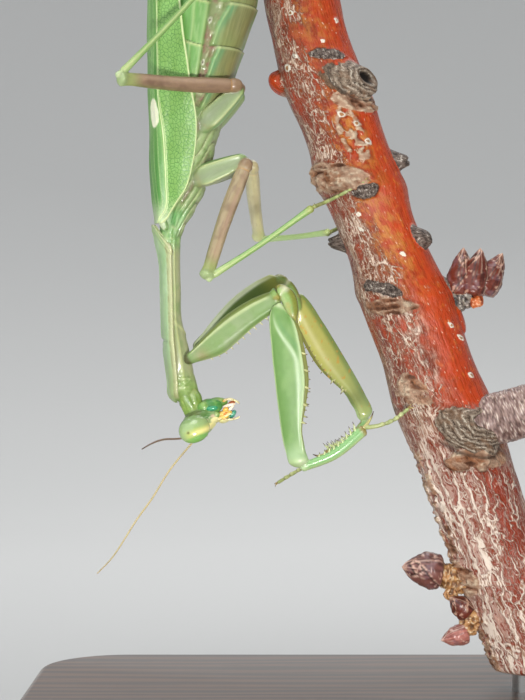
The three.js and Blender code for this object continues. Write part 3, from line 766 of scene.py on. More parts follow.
PRONOTUM_ROWS = smooth([
    [42.6, -18.3, -17.9, 1.1], [43.4, -19.2, -18.0, 1.6], [45.5, -19.5, -18.1, 2.0],
    [48.5, -19.9, -18.3, 2.45], [51, -20.2, -18.5, 2.55], [53.5, -20.3, -18.6, 2.0],
    [57, -20.4, -18.7, 1.65], [61, -20.6, -18.8, 1.7], [63.3, -21.1, -18.7, 1.95],
    [65.3, -21.4, -18.4, 2.2],
])
PROTHORAX_ROWS = smooth([
    [43.6, -15.2, 1.3], [45.5, -15.9, 1.7], [48.5, -16.5, 1.9], [51, -17.1, 1.9],
    [53.5, -17.7, 1.6], [57, -17.8, 1.4], [61, -17.9, 1.4], [63.5, -17.8, 1.6], [65.6, -17.4, 1.9],
])
GROOVE = 50.4
PRONOTUM_THICK = 0.28


def pronotum():
    """The shield over the prothorax: a curved plate with a keel, a groove and toothed margins."""
    t = np.linspace(0, 1, 210)[:, None]
    v = np.linspace(-1, 1, 67)[None, :] + 0 * t
    front = 42.6 + 0.9 * v**2
    hind = 65.75 - 3.0 * np.abs(v) ** 2.4
    zz = front + (hind - front) * t
    ridge, margin, half = np.moveaxis(PRONOTUM_ROWS(zz), -1, 0)
    teeth = 0.09 * ramp(np.abs(v), 0.9, 1.0) * np.abs(np.sin(zz * math.pi / 0.5)) * ramp(zz, 58, 54)
    wide = (half + teeth) * (1 - 0.25 * ramp(t, 0.03, 0.0))
    arch = np.sqrt(np.clip(1 - v**2 * 0.985, 0, 1))
    top = margin + (ridge - margin) * (0.92 * arch + 0.08 * (1 - np.abs(v)))
    push = 0.12 * hill(v, 0, 0.06) * ramp(np.abs(zz - GROOVE), 0.2, 1.0)
    push = push - 0.16 * hill(zz - 0.35 * (1 - v**2), GROOVE, 0.22) * ramp(np.abs(v), 0.92, 0.6)
    push = push + 0.08 * ramp(t, 0.965, 0.98) + 0.10 * hill(t, 0.955, 0.012)
    push = push + 0.012 * noise(xyz(v, zz, 0), 0.3, 33) - 0.05 * hill(np.abs(v), 0.9, 0.03)
    slope = xyz(-arch, 0.5 * v, 0)
    outer = xyz(top, v * wide, zz) + unit(slope) * push[..., None]
    inner = outer + xyz(0 * v + PRONOTUM_THICK, -0.1 * v, 0)
    p = outer
    tint = coats(PRONOTUM_GREEN,
        (PRONOTUM_LOW, ramp(zz, 50, 44)),
        ("b4cda4", 0.5 * ramp(noise(p, 1.8, 41), -0.2, 0.8)),
        ("8fb57c", 0.5 * ramp(noise(p * vec(1, 1, 0.4), 1.1, 42), 0.1, 0.8)),
        (PRONOTUM_LOW, 0.6 * hill(t, 0.96, 0.03)),
        (MARGIN, ramp(np.abs(v), 0.84, 0.93) * 0.7),
        ("8f8457", 0.6 * hill(np.abs(v), 0.91, 0.02) * ramp(noise(p, 0.7, 4), -0.4, 0.2)),
        ("cfcf9f", 0.8 * ramp(np.abs(v), 0.955, 0.985) + 0.7 * ramp(t, 0.975, 0.99)),
    )
    return painted("pronotum_shield", there_and_back(outer, inner), there_and_back(tint), 0.44)


def prothorax():
    """The long first part of the thorax, under the shield."""
    z = np.arange(43.0, 66.2, 0.15)
    belly, half = columns(PROTHORAX_ROWS(z))
    shield = PRONOTUM_ROWS(np.clip(z, 43.4, 65.0))
    margin, cover = shield[:, 1][:, None], shield[:, 2][:, None]
    phi = circle(96, -math.pi, math.pi)[None, :]
    zz = z[:, None] + 0 * phi
    a = np.abs(np.degrees(phi)) + 0 * zz
    seat = margin - 0.35
    wide = (cover - 0.22) + (half - cover + 0.22) * ramp(a, 88, 140)
    crown = 0.5 + 1.2 * ramp(z, 61.8, 63.6)[:, None]
    deep = np.where(a < 90, crown, belly - seat)
    ends = np.sqrt(np.clip(np.minimum(zz - 42.9, 66.3 - zz) / 0.9, 0, 1))
    x = seat - deep * np.cos(phi) * ends
    y = -wide * np.sin(phi) * ends
    p = xyz(x, y, zz)
    seams = keel(a, 116, 5) + hill(zz + 0.02 * a, 55.2, 0.25) * ramp(a, 60, 110)
    wrinkle = noise(p * vec(1, 1, 2.2), 0.8, 51) * ramp(zz, 48, 45)
    wrinkle = wrinkle + noise(p * vec(1, 1, 2.0), 0.7, 52) * ramp(zz, 62, 63.5)
    push = 0.10 * seams - 0.10 * hill(a, 100, 6) + 0.14 * wrinkle
    p = p + xyz(-np.cos(phi) + 0 * zz, -np.sin(phi) + 0 * zz, 0 * zz) * (push * ends)[..., None]
    tint = coats("a3b080",
        ("b3b98b", ramp(a, 110, 150)),
        ("84a566", 0.5 * ramp(noise(p, 1.2, 55), 0, 0.7)),
        (SUTURE, 0.6 * np.clip(seams, 0, 1)),
        ("8f8457", 0.7 * hill(a, 99, 6)),
        ("85ab52", 0.8 * ramp(zz, 47.5, 44.5)),
        ("7fb56b", 0.8 * ramp(zz, 61.5, 63.5)),
        # Painted glints: pale on the crests of the wrinkles near both ends.
        ("d3dba6", 0.55 * ramp(wrinkle, 0.25, 0.7)),
    )
    return painted("breast", p, tint, 0.4)


def neck():
    """The soft neck, with its two side plates."""
    rows = [[0, 1.2, 1.0, 1.6], [0.35, 1.25, 1.05, 1.95], [0.7, 1.2, 1.1, 1.6], [1, 1.3, 1.2, 1.2]]

    def fold(s):
        return grain(np.abs(s.angle) / 17, s.mm / 2.6, 61)

    def lift(s):
        crease = hill(s.t, 0.14, 0.03) + hill(s.t, 0.78, 0.03)
        return (
            0.16 * fold(s) * hill(s.t, 0.45, 0.3) - 0.08 * crease
            + 0.05 * noise(s.p * vec(1, 1, 2), 0.7, 62)
        )

    def paint(s):
        tint = mix("7f9f45", "9bb05a", ramp(noise(s.p, 0.9, 63), -0.3, 0.6))
        pale = ramp(np.abs(np.abs(s.angle) - 70), 45, 20) * hill(s.t, 0.45, 0.25)
        return coats(tint,
            ("a8c096", 0.75 * pale * ramp(fold(s), -0.2, 0.3)),
            # Painted glints on the crests of the side plates' folds, and painted shade in their troughs.
            ("d9e2c4", 0.75 * pale * ramp(fold(s), 0.35, 0.6)),
            ("5f7f33", 0.6 * pale * ramp(fold(s), -0.2, -0.6)),
            ("b79d5c", 0.45 * hill(s.t, 0.14, 0.05) + 0.45 * hill(s.t, 0.78, 0.05)),
        ), 0.36

    path = [(-17.7, 0, 44.9), (-17.1, 0, 43.2), (-16.4, 0, 41.7), (-15.6, 0, 40.4)]
    return limb(path, rows, vec(1, 0, 0), lift=lift, paint=paint, sides=60, step=0.1)


# ---- Head ----

HEAD = vec(-15.6, 0, 39.9)
NOD = math.radians(20)
HEAD_ROWS = smooth([
    [0, 1.7, 0.6, 0.7], [0.16, 2.6, 1.5, 1.6], [0.4, 2.85, 1.9, 1.95], [0.62, 2.3, 1.85, 1.45],
    [0.82, 1.65, 1.6, 0.95], [1, 1.25, 1.15, 0.55],
])
EYE = vec(-0.5, 2.6, -0.24)
EYE_RADII = vec(2.0, 1.4, 1.7)
EYE_LEAN = vec(-0.34, 0, -0.42)
PUPIL_X, PUPIL_Z = -1.35, -0.42


def nodded(p, turn):
    """Points turned about the Y axis."""
    c, s = math.cos(turn), math.sin(turn)
    return xyz(c * p[..., 0] - s * p[..., 2], p[..., 1], s * p[..., 0] + c * p[..., 2])


def from_head(p):
    """Head coordinates to the model's: x runs from crown to mouth, +z is the back of the head."""
    return HEAD + nodded(p, NOD)


# Patches of the head: middle, half sizes, tone and strength. The dark greens towards the back of the head
# are painted shade where it meets the neck. The pale yellows on the face are its cream, brightened as
# painted light.
MARKS_SHADE_AND_LIGHT = [
    (0.9, 0.15, 0.7, 0.55, "bdb89a", 0.75), (1.6, -0.6, 1.0, 0.42, "fff6a6", 1.0),
    (0.5, -0.84, 0.7, 0.32, "fbf0a0", 1.0), (2.5, -0.1, 0.8, 0.5, "fbf3b0", 1.0),
    (1.55, 0.75, 0.5, 0.35, "4f8a3f", 0.8), (2.2, 0.5, 0.35, 0.2, "edbfa4", 0.7),
    (0.3, -1.55, 1.4, 0.45, "5fae5c", 0.7), (1.1, 1.3, 0.8, 0.5, "587f3c", 0.8),
    (0.2, 1.5, 0.9, 0.4, "6d7a45", 0.8), (-0.6, 1.75, 0.9, 0.35, "5d6a3a", 0.7),
]


def head_paint(q):
    """Colour of the head's shell from head coordinates, with painted shade and painted light among its
    patches.
    """
    y = np.abs(q[..., 1])
    tint = coats("8fab72",
        ("a3b98e", ramp(q[..., 0], 0.5, -1.8)),
        ("9fbb72", 0.6 * ramp(noise(q, 0.8, 71), 0, 0.8)),
    )
    for x, z, wide, tall, tone, amount in MARKS_SHADE_AND_LIGHT:
        spot = np.hypot((q[..., 0] - x) / wide, (q[..., 2] - z) / tall) + 0.15 * noise(q, 0.5, 72)
        tint = mix(tint, colour(tone), amount * ramp(spot, 1.15, 0.75) * ramp(y, 0.4, 0.9))
    face = ramp(q[..., 2], -0.3, -0.9)
    tint = coats(tint,
        ("d9dfa0", 0.6 * face * hill(y, 0.95, 0.2) * ramp(q[..., 0], 2.4, 1.0)),
        ("4f7a33", 0.8 * hill(q[..., 0], 2.35, 0.07) * face),
    )
    streak = noise(q * vec(0.5, 1, 3.0), 0.5, 74)
    return mix(
        tint, "e9e6cf",
        0.6 * ramp(streak, 0.35, 0.7) * ramp(q[..., 0], 0.3, 0.9) * ramp(q[..., 2], 1.0, 0.5),
    )


OCELLI = ((0, 0.0), (0.34, 0.3), (-0.34, 0.3))


def capsule():
    """The head's shell, with its face ridges, antenna sockets and three simple eyes."""
    t = np.linspace(0, 1, 74)
    x = -2 + 5 * t
    phi = circle(120, -math.pi, math.pi)[None, :]
    half, back, front = columns(HEAD_ROWS(t))
    rise = 0.1 + 0.1 * ramp(t, 0.5, 1)[:, None]
    depth = np.where(np.cos(phi) > 0, back, front)
    sy, sz = power(np.sin(phi), 0.86), power(np.cos(phi), 0.86)
    size = rounded(t / 0.10)[:, None] * rounded((1 - t) / 0.06)[:, None]
    q = xyz(x[:, None] + 0 * phi, half * sy * size, rise + depth * sz * size)
    down, y, z = q[..., 0], q[..., 1], q[..., 2]
    wide = np.abs(y)
    out = unit(xyz(0 * y, sy + 0 * y, sz + 0 * y))
    face = ramp(z, 0.0, -0.5)
    ring = np.hypot(wide - 0.72, down - 0.35)
    push = 0.1 * face * (hill(wide, 0.75, 0.12) * ramp(down, -1.2, -0.4) * ramp(down, 2.3, 1.9))
    push = push - 0.1 * face * hill(down, 2.35, 0.09)
    push = push - 0.08 * face * hill(down, 0.95, 0.1) * ramp(wide, 1.2, 0.9)
    push = push - 0.14 * hill(wide, 1.55, 0.10) * ramp(z, 0.6, 1.0) * ramp(down, 1.2, 0.6)
    for side, low in OCELLI:
        push = push + 0.16 * face * np.exp(-(((y - side) / 0.15) ** 2 + ((down + 0.15 + low) / 0.15) ** 2))
    push = push + face * (0.14 * hill(ring, 0.36, 0.09) - 0.14 * ramp(ring, 0.3, 0.1))
    push = push + 0.02 * noise(q, 0.4, 73)
    q = q + out * (push * size)[..., None]
    tint = head_paint(q)
    for side, low in OCELLI:
        spot = np.hypot(y - side, q[..., 0] + 0.15 + low)
        tint = mix(tint, "d8d38a", ramp(spot, 0.16, 0.1) * face)
    tint = mix(tint, "c8cf8f", 0.8 * face * hill(ring, 0.36, 0.09))
    return painted("capsule", from_head(q), tint, 0.4)


def bulb(name, centre, radii, paint, turn=0.0, steps=40, full=1.0, material=None, shape=None):
    """An ellipsoid in head coordinates."""
    theta = np.linspace(0, math.pi, steps)[1:-1, None]
    phi = circle(2 * steps)[None, :]
    d = xyz(np.cos(theta) + 0 * phi, np.sin(theta) * np.cos(phi), np.sin(theta) * np.sin(phi))
    q = power(d, full) * radii
    if shape is not None:
        q = shape(q, d)
    if turn:
        q = nodded(q, turn)
    q = q + centre
    return painted(name, from_head(q), *paint(q), material)


def plain(one, two, rough):
    """A paint of one tone mottled with another."""
    def paint(q):
        return mix(one, two, 0.5 * ramp(noise(q, 0.5, 81), -0.3, 0.8)), rough

    return paint


def eye(name, side):
    """A banded eye, leaning outwards and forwards, with its false pupil. Its pale yellow band is painted
    light.
    """
    def paint(q):
        x, z = q[..., 0], q[..., 2]
        out = q[..., 1] * side
        tint = coats("9fba7a",
            ("8aa86f", ramp(z, 0.3, 1.3)),
            ("c6d072", 0.9 * ramp(z, 0.1, -0.6) * ramp(x, -2.3, -1.2)),
            # Painted light: the pale yellow band across the lower front, running on over the face.
            ("f8ee9c", hill(z, -0.74, 0.3) * ramp(x, -1.5, -0.1)),
            ("6fae45", 0.95 * ramp(z, -0.98, -1.35) * ramp(x, -2.2, -0.6)),
            ("8cc46a", 0.8 * ramp(z, -1.0, -1.5)),
            ("a7c489", 0.5 * ramp(noise(q * vec(1, 1, 3), 0.7, 83), 0.2, 0.8)),
        )
        dot = np.hypot(x - PUPIL_X, z - PUPIL_Z)
        return coats(tint,
            ("30280f", ramp(dot, 0.15, 0.09) * (out > 2.5)),
            ("8d8f3f", 0.5 * ramp(dot, 0.32, 0.15) * (out > 2.5)),
        ), 0.16

    centre = EYE * vec(1, side, 1)

    def shape(q, d):
        return q + EYE_LEAN * np.clip(side * d[..., 1:2], 0, 1)

    return bulb(name, centre, EYE_RADII, paint, steps=56, full=0.97, material=EYE_SKIN, shape=shape)


def wing_bases():
    """The pale swellings where the fore wings hinge."""
    def paint(s):
        return mix("86ab6c", "c9d6b0", ramp(noise(s.p * vec(1, 1, 0.4), 0.5, 87), -0.3, 0.5)), 0.36

    rows = [[0, 0.3, 0.35, 0.35], [0.5, 0.5, 0.55, 0.55], [1, 0.3, 0.35, 0.35]]
    paths = [
        [vec(-20.3, 1.55 * side, 66.9), vec(-20.1, 1.85 * side, 65.9), vec(-19.5, 1.95 * side, 64.7)]
        for side in (LEFT, RIGHT)
    ]
    return [limb(path, rows, vec(1, 0, 0), paint=paint, dome=0.4, step=0.1) for path in paths]


MOUTH_MIDDLE = (
    ("lip", (4.55, 0, -0.22), (0.72, 0.7, 0.4), ("45a88c", "a4dcb8", 0.16), 0.5),
    ("clypeus", (3.45, 0, -0.45), (0.85, 1.0, 0.5), ("faf4b4", "e6e69c", 0.3), 0),
    ("under_lip", (3.4, 0, 1.9), (1.25, 0.62, 0.62), ("6b9a45", "b5c276", 0.3), -0.35),
    ("chin", (2.0, 0, 1.9), (1.1, 0.85, 0.9), ("5f9346", "8fb060", 0.3), 0),
)
MOUTH_SIDES = (
    ("stipe", (2.55, 0.85, 1.65), (1.3, 0.55, 0.95), ("4c8a44", "86b45f", 0.25), -0.3),
    ("cardo", (1.5, 0.95, 1.9), (0.8, 0.5, 0.75), ("6f9f4c", "9dbb6c", 0.3), 0),
    ("gloss_patch", (2.45, 1.32, 1.42), (0.72, 0.24, 0.32), ("2b8f62", "6fc79a", 0.1), -0.25),
    ("jaw", (3.4, 0.72, 0.25), (1.3, 0.56, 0.42), ("f2c65c", "f3eab0", 0.28), -0.12),
    ("jaw_ridge", (3.5, 1.0, -0.12), (1.1, 0.24, 0.2), ("fbf0b8", "f4dd84", 0.25), 0.1),
    ("jaw_spot", (3.75, 1.16, 0.2), (0.34, 0.14, 0.10), ("e9781c", "f6a83a", 0.22), 0.3),
    ("jaw_seam", (2.6, 1.15, 0.45), (0.55, 0.3, 0.4), ("6a9a48", "cfd890", 0.3), 0),
    ("jaw_tip", (4.3, 0.34, 0.18), (0.42, 0.26, 0.26), ("8a4a24", "5a2f1b", 0.3), 0),
    ("inner_lobe", (4.45, 0.62, 0.45), (0.8, 0.22, 0.2), ("fdf8e0", "f3dfa6", 0.3), 0.45),
    ("outer_lobe", (4.6, 0.62, 1.02), (0.85, 0.2, 0.22), ("f6e9d4", "e3b98e", 0.3), -0.1),
    ("palp_base", (4.0, 0.82, 0.68), (0.4, 0.3, 0.3), ("f4b23e", "fbdc7a", 0.25), 0),
    ("joint_spot", (3.55, 1.1, -0.2), (0.5, 0.2, 0.18), ("f6cf5e", "ffe48c", 0.25), -0.2),
    ("tongue", (5.0, 0.4, 1.2), (0.5, 0.22, 0.25), ("a3501e", "e08a3a", 0.25), 0),
)
PALPS = (
    ([(3.2, 1.15, -0.25), (3.9, 1.35, -0.62), (4.7, 1.3, -0.85), (5.45, 1.1, -0.82)], 0.12),
    ([(4.0, 0.6, 1.75), (4.7, 0.85, 1.82), (5.4, 0.8, 1.45), (5.95, 0.62, 0.78)], 0.14),
)


def mouth():
    """Lip, jaws, lobes and palps, all grown together with the head."""
    def lobes(table, side):
        return [bulb(name, vec(x, side * y, z), vec(*radii), plain(*paint), turn)
                for name, (x, y, z), radii, paint, turn in table]

    parts = lobes(MOUTH_MIDDLE, LEFT)
    for side in (LEFT, RIGHT):
        parts += lobes(MOUTH_SIDES, side)
        for route, radius in PALPS:
            parts.append(palp([from_head(vec(x, y * side, z)) for x, y, z in route], radius, side))
    return parts


def palp(path, radius, side):
    """A jointed feeler of the mouth."""
    length = Walk(path).length
    joints = np.array([0.28, 0.62]) * length

    def lift(s):
        waist = sum(hill(s.mm, j, 0.10) for j in joints)
        return radius * (-0.28 * waist + 0.18 * np.sin(s.t * math.pi * 3) ** 2)

    def paint(s):
        return coats("efe6b4",
            ("e9b35c", ramp(s.t, 0.35, 0.0)),
            ("c9b27c", sum(hill(s.mm, j, 0.1) for j in joints) * 0.7),
            ("d9c9a2", ramp(s.t, 0.85, 1.0)),
        ), 0.35

    rows = [[0, radius, radius, radius], [0.5, radius * 0.95, radius, radius],
            [1, radius * 0.5, radius * 0.6, radius * 0.6]]
    return limb(path, rows, vec(1, 0, 0.3), side, step=0.08, sides=16, dome=0.2, lift=lift, paint=paint)


ANTENNAE = {
    "left": [
        (-15.2, -0.7, 38.9), (-16.6, -0.95, 37.35), (-19.1, -3, 34.3), (-21.2, -5, 30.9), (-23, -6.5, 28.4),
        (-25.9, -9, 23.9), (-27.7, -10, 22),
    ],
    "right": [
        (-15.2, 0.7, 38.9), (-17.6, 2.0, 38.15), (-20.4, 7.5, 37.7), (-22.3, 12.7, 36.9),
        (-23.9, 17.6, 35.9),
    ],
}


FEELER_RING = 0.27


def antenna(name):
    """A feeler: a thick first segment, then a thread of about a hundred short ones."""
    path = ANTENNAE[name]
    pale, dark = ("d9c796", "a08a5c") if name == "left" else ("8a6e52", "4b3524")
    length = Walk(path).length

    def lift(s):
        scape = 0.12 * ramp(s.mm, 0.9, 0.7) - 0.05 * hill(s.mm, 0.85, 0.09)
        return scape + 0.016 * np.cos(s.mm * 2 * math.pi / FEELER_RING) * ramp(s.mm, 1.2, 1.5)

    def paint(s):
        return coats(pale,
            (dark, 0.6 * ramp(np.cos(s.mm * 2 * math.pi / FEELER_RING), -0.2, -0.9)),
            (dark, 0.6 * ramp(s.t, 0.7, 1.0)),
            ("a9bf74", ramp(s.mm, 1.2, 0.6)),
        ), 0.4

    rows = tube((0, 0.17), (1.5 / length, 0.14), (0.6, 0.115), (1, 0.07))
    thing = limb(path, rows, vec(1, 0, 0), step=0.045, sides=12, dome=0.12, lift=lift, paint=paint,
                 name=f"feeler_{name}", material=SHELL)
    return finished(thing, "antenna", f"antenna_{name}")


# ---- Branch shape, which the feet hold ----

BRANCH = smooth([
    [8.6, 28.3, 0, 6.2], [12.4, 26.9, 0, 6.2], [18.8, 24.3, 0, 6.2], [26, 21.6, 0, 5.9], [34, 18.9, 0, 6.0],
    [41, 16.3, 0, 6.6], [48, 13.8, 0, 5.9], [56.5, 10.8, 0, 6.1], [61, 9.2, 0, 5.5],
    [66, 7.0, 0, 5.2], [71, 5.1, 0, 5.6], [76, 3.5, 0.3, 5.2], [83, 1.0, 1.2, 5.5],
    [89, -0.9, 2.2, 5.0], [94.5, -2.2, 3.0, 4.9], [100, -2.6, 3.3, 4.7], [107, -3.3, 3.4, 4.6],
    [113.6, -4.4, 3.4, 4.4],
])
BRANCH_FOOT, BRANCH_TOP = 8.6, 113.6
GRIP = 0.42


def bark_point(height, degrees, lift=0.0):
    """A point of the bark's surface. The angle is 0 towards -Y and 90 towards +X."""
    x, y, reach = BRANCH(height).T
    turn = np.radians(degrees)
    reach = reach.T + lift
    return xyz(x.T + reach * np.sin(turn), y.T - reach * np.cos(turn), height)


# ---- Legs ----


class Leg:
    """The joints of one leg, from hip to claws."""

    def __init__(self, joints, foot, root=None, bend=()):
        self.hip, self.trochanter, self.knee, self.ankle = (vec(*j) for j in joints)
        self.root = self.trochanter if root is None else vec(*root)
        self.bend = [vec(*b) for b in bend]
        self.foot = [vec(*f) if len(f) == 3 and f[0] < 50 else bark_point(*f) for f in foot]


LEGS = {
    "fore_left": Leg(
        [(-17.2, -2.3, 47.9), (-5.1, -4.3, 55.8), (-2.7, -6, 34.8), (5.4, -6, 39.8)],
        [(7.3, -6.2, 40.1), (9.1, -6.1, 40.8), (10.9, -6, 42.2)], root=(-4.75, -5.2, 55.1),
        bend=[
            (-6.3, -4.2, 55.9), (-5.0, -4.4, 56.8), (-4.2, -4.7, 56.1), (-3.8, -4.9, 54.6),
            (-3.7, -5.2, 52.4),
        ],
    ),
    "fore_right": Leg(
        [(-16.2, 2.3, 49.6), (-5.0, 7.9, 58.5), (7, 16, 40.2), (1, 11.4, 35.4)],
        [(-0.6, 10.6, 34.5), (-2.4, 9.8, 33.6), (-5.4, 8.5, 31.9)], root=(-3.2, 8.7, 56.2),
        bend=[
            (-6.2, 7.5, 58.2), (-5.2, 7.8, 58.6), (-4.1, 8.2, 57.7), (-3.3, 8.5, 56.4), (-2.3, 9.0, 54.4),
        ],
    ),
    "mid_left": Leg(
        [(-14.7, -2.3, 71.6), (-9.2, -3.2, 73.7), (-14.4, -8, 58.2), (-1, -5.4, 67.4)],
        [(68.2, -62, 0.9), (68.9, -38, GRIP), (70.6, 2, GRIP)],
    ),
    "mid_right": Leg(
        [(-14.2, 2.3, 72.4), (-8.8, 3.7, 73.9), (-7.8, 16.5, 64.6), (1.4, 3.4, 64.8)],
        [(65.4, -132, 0.9), (66.2, -160, GRIP), (67.4, 165, GRIP)],
    ),
    "hind_left": Leg(
        [(-14.1, -3.2, 78.7), (-9.9, -3.7, 82.8), (-25.2, -11, 82.8), (-11.5, -6.9, 98.3)],
        [(-9.6, -5.2, 99.6), (100.8, -46, 0.9), (102.6, -8, GRIP)],
    ),
    "hind_right": Leg(
        [(-14.1, 3.2, 78.9), (-9.9, 3.9, 83), (-20.5, 12.6, 92), (-6, 8.2, 107)],
        [(107.8, -150, 0.7), (108.6, -178, GRIP), (109.8, 150, GRIP)],
    ),
}

WALKING_COXA = [
    [0, 0.8, 0.7, 0.7], [0.3, 1.35, 1.45, 1.4], [0.6, 1.2, 1.35, 1.25], [0.85, 0.95, 1.05, 0.95],
    [1, 0.75, 0.8, 0.75],
]
WALKING_FEMUR = [
    [0, 0.64, 0.72, 0.72], [0.12, 0.74, 0.92, 0.92], [0.75, 0.64, 0.87, 0.87], [0.92, 0.64, 0.85, 0.85],
    [0.97, 0.74, 1.0, 0.92], [1, 0.7, 0.95, 0.85],
]
WALKING_TIBIA = [
    [0, 0.5, 0.58, 0.56], [0.1, 0.43, 0.47, 0.47], [0.8, 0.36, 0.38, 0.38], [0.95, 0.42, 0.45, 0.45],
    [1, 0.42, 0.45, 0.45],
]
FORE_COXA = [[0, 0.6, 0.6, 0.5], [0.14, 0.9, 1.0, 0.95], [0.33, 1.0, 1.7, 1.6], [0.5, 0.95, 2.15, 1.3],
             [0.65, 0.9, 2.25, 0.95], [0.8, 0.85, 2.1, 0.8], [1, 0.75, 1.5, 0.7]]
FORE_FEMUR = [
    [0, 0.55, 1.0, 0.8], [0.05, 0.72, 1.6, 1.3], [0.25, 0.8, 1.92, 2.1], [0.47, 0.8, 1.9, 2.3],
    [0.62, 0.75, 1.85, 1.6], [0.77, 0.65, 1.75, 0.75], [0.88, 0.65, 1.55, 0.9], [0.95, 0.7, 1.4, 1.25],
    [1, 0.6, 1.1, 1.2],
]
FORE_TIBIA = [[0, 0.45, 0.6, 0.55], [0.2, 0.5, 0.6, 0.55], [0.7, 0.5, 0.7, 0.55], [1, 0.4, 0.8, 0.6]]


def along(start, end, t):
    return start + (end - start) * t


def walking_coxa(leg, side):
    """The ridged first piece of a mid or hind leg."""
    def lift(s):
        ridge = s.keel(35, 9) + s.keel(118, 9) + s.keel(-100, 12)
        return 0.26 * ridge * ramp(s.t, 0.2, 0.3) * ramp(s.t, 0.99, 0.92) - 0.14 * s.keel(78, 20)

    def paint(s):
        return coats("93a874",
            ("8d9a78", 0.8 * s.keel(78, 26)),
            ("7fa866", 0.8 * s.band(150, 32, 10)),
            ("8b9152", 0.8 * s.band(0, 34, 12)),
            ("c9d196", 0.95 * (s.keel(35, 6) + s.keel(118, 6)) * ramp(s.t, 0.2, 0.3)),
            ("a39a6a", 0.45 * hill(s.t, 0.2, 0.04) * ramp(noise(s.p, 0.8, 90), -0.4, 0.4)),
            ("7aa559", 0.5 * ramp(s.t, 0.86, 0.95)),
        ), 0.36

    root = leg.hip + (leg.hip - leg.trochanter) * 0.42
    path = [root, along(leg.hip, leg.trochanter, 0.4), leg.trochanter]
    flexor = leg.ankle - leg.hip
    return limb(path, WALKING_COXA, flexor, side, sides=48, full=0.85, lift=lift, paint=paint)


FEMUR_HUE = {"mid_left": 0.3, "hind_left": 0.0, "mid_right": 0.75, "hind_right": 0.3}


def walking_femur(name, leg, side):
    """The thigh of a mid or hind leg, from mauve (hue 0) to pale green (hue 1)."""
    hue = FEMUR_HUE[name]

    def lift(s):
        joint = -0.10 * hill(s.mm, 1.75, 0.12) + 0.12 * ramp(s.mm, 1.6, 1.2)
        ridges = 0.05 * sum(s.keel(c, 8) for c in (-140, -60, 40, 90, 150)) * ramp(s.t, 0.1, 0.2)
        lobe = 0.25 * ramp(s.left, 1.3, 0.7) * (s.keel(90, 40) + s.keel(-90, 40)) * ramp(s.left, 0.0, 0.5)
        return joint + ridges + lobe + 0.015 * noise(s.p, 0.5, 91)

    def paint(s):
        streak = ramp(grain(s.angle / 26, s.mm / 7, 95), -0.3, 0.8)
        main = mix("91745a", "bdb586", hue)
        return coats(main,
            ("a98d74", 0.7 * streak),
            ("c9be96", 0.7 * hue * ramp(streak, 0.7, 0.2)),
            ("6b4f3c", (0.7 - 0.5 * hue) * ramp(noise(s.p, 1.6, 97), 0.0, 0.8)),
            ("7d6350", 0.5 * ramp(grain(s.angle / 12, s.mm / 1.2, 98), 0.2, 0.8)),
            ("bda28a", 0.5 * s.keel(60, 22)),
            ("7d8453", 0.6 * s.keel(150, 25) * ramp(s.t, 0.2, 0.8)),
            ("9aa465", ramp(s.left, 3.6, 1.4)),
            ("a7bd87", 0.8 * ramp(s.left, 1.5, 0.6)),
            ("94785b", 0.7 * ramp(s.mm, 1.7, 1.2)),
            ("c99a5c", 0.7 * hill(s.mm, 1.74, 0.09)),
            # Painted light: the far mid leg is lightened to make up for the shade it lies in.
            ("ece6b4", 0.5 * (name == "mid_right")),
        ), 0.38

    middle = along(leg.trochanter, leg.knee, 0.5) + unit(leg.trochanter - leg.ankle) * 0.25
    path = [leg.trochanter, middle, leg.knee]
    return limb(path, WALKING_FEMUR, leg.ankle - leg.knee, side, sides=36, lift=lift, paint=paint, dome=0.7)


def walking_tibia(name, leg, side):
    """The shin of a mid or hind leg."""
    def lift(s):
        waist = -0.12 * hill(s.mm, 0.95, 0.25)
        ridges = 0.035 * sum(s.keel(c, 10) for c in (-130, -50, 50, 130))
        return waist + ridges + 0.06 * ramp(s.left, 0.9, 0.5)

    def paint(s):
        return coats(TIBIA_GREEN,
            (TIBIA_PALE, 0.8 * ramp(s.mm, 5.5, 1.5)),
            (KNEE_PALE, 0.8 * ramp(s.mm, 1.2, 0.4)),
            ("d6dca0", 0.6 * s.keel(110, 16)),
            ("6f9a4e", 0.45 * s.keel(40, 22)),
            ("a5a257", 0.6 * ramp(s.left, 1.6, 0.4)),
            # Painted light: the far mid leg is lightened to make up for the shade it lies in.
            ("d9f0a8", 0.45 * (name == "mid_right")),
        ), 0.32

    path = [leg.knee, along(leg.knee, leg.ankle, 0.5) + vec(0.1, 0, -0.15), leg.ankle]
    return limb(
        path, WALKING_TIBIA, leg.trochanter - leg.knee, side, sides=28, lift=lift, paint=paint, dome=0.5,
    )


def tarsus(leg, side, sole=None):
    """A foot of five padded joints. Its sole faces the branch, unless it is told another way."""
    path = [leg.ankle, *leg.foot]
    length = Walk(path).length
    joints = [0.42 * length, 0.6 * length, 0.74 * length, 0.86 * length]

    def lift(s):
        waist = sum(hill(s.mm, j, 0.13) for j in joints)
        pads = sum(hill(s.mm, j - 0.3, 0.22) for j in joints)
        return -0.06 * waist + 0.08 * pads * np.clip(np.cos(np.radians(s.angle)), 0, 1)

    def paint(s):
        return coats(TARSUS_OLIVE,
            ("c5cb8c", 0.6 * ramp(noise(s.p, 0.7, 99), -0.2, 0.6)),
            ("5f5a33", 0.6 * sum(hill(s.mm, j, 0.1) for j in joints)),
            ("ccd09a", 0.35 * sum(hill(s.mm, j - 0.3, 0.2) for j in joints)),
        ), 0.42

    rows = [[0, 0.28, 0.3, 0.3], [0.4, 0.23, 0.25, 0.25], [0.85, 0.22, 0.24, 0.24], [1, 0.2, 0.22, 0.22]]
    end = path[-1]
    if sole is None:
        x, y, _ = BRANCH(end[2])
        sole = unit(vec(x, y, end[2]) - end)
    return limb(path, rows, sole, side, step=0.09, sides=20, dome=0.22, lift=lift, paint=paint)


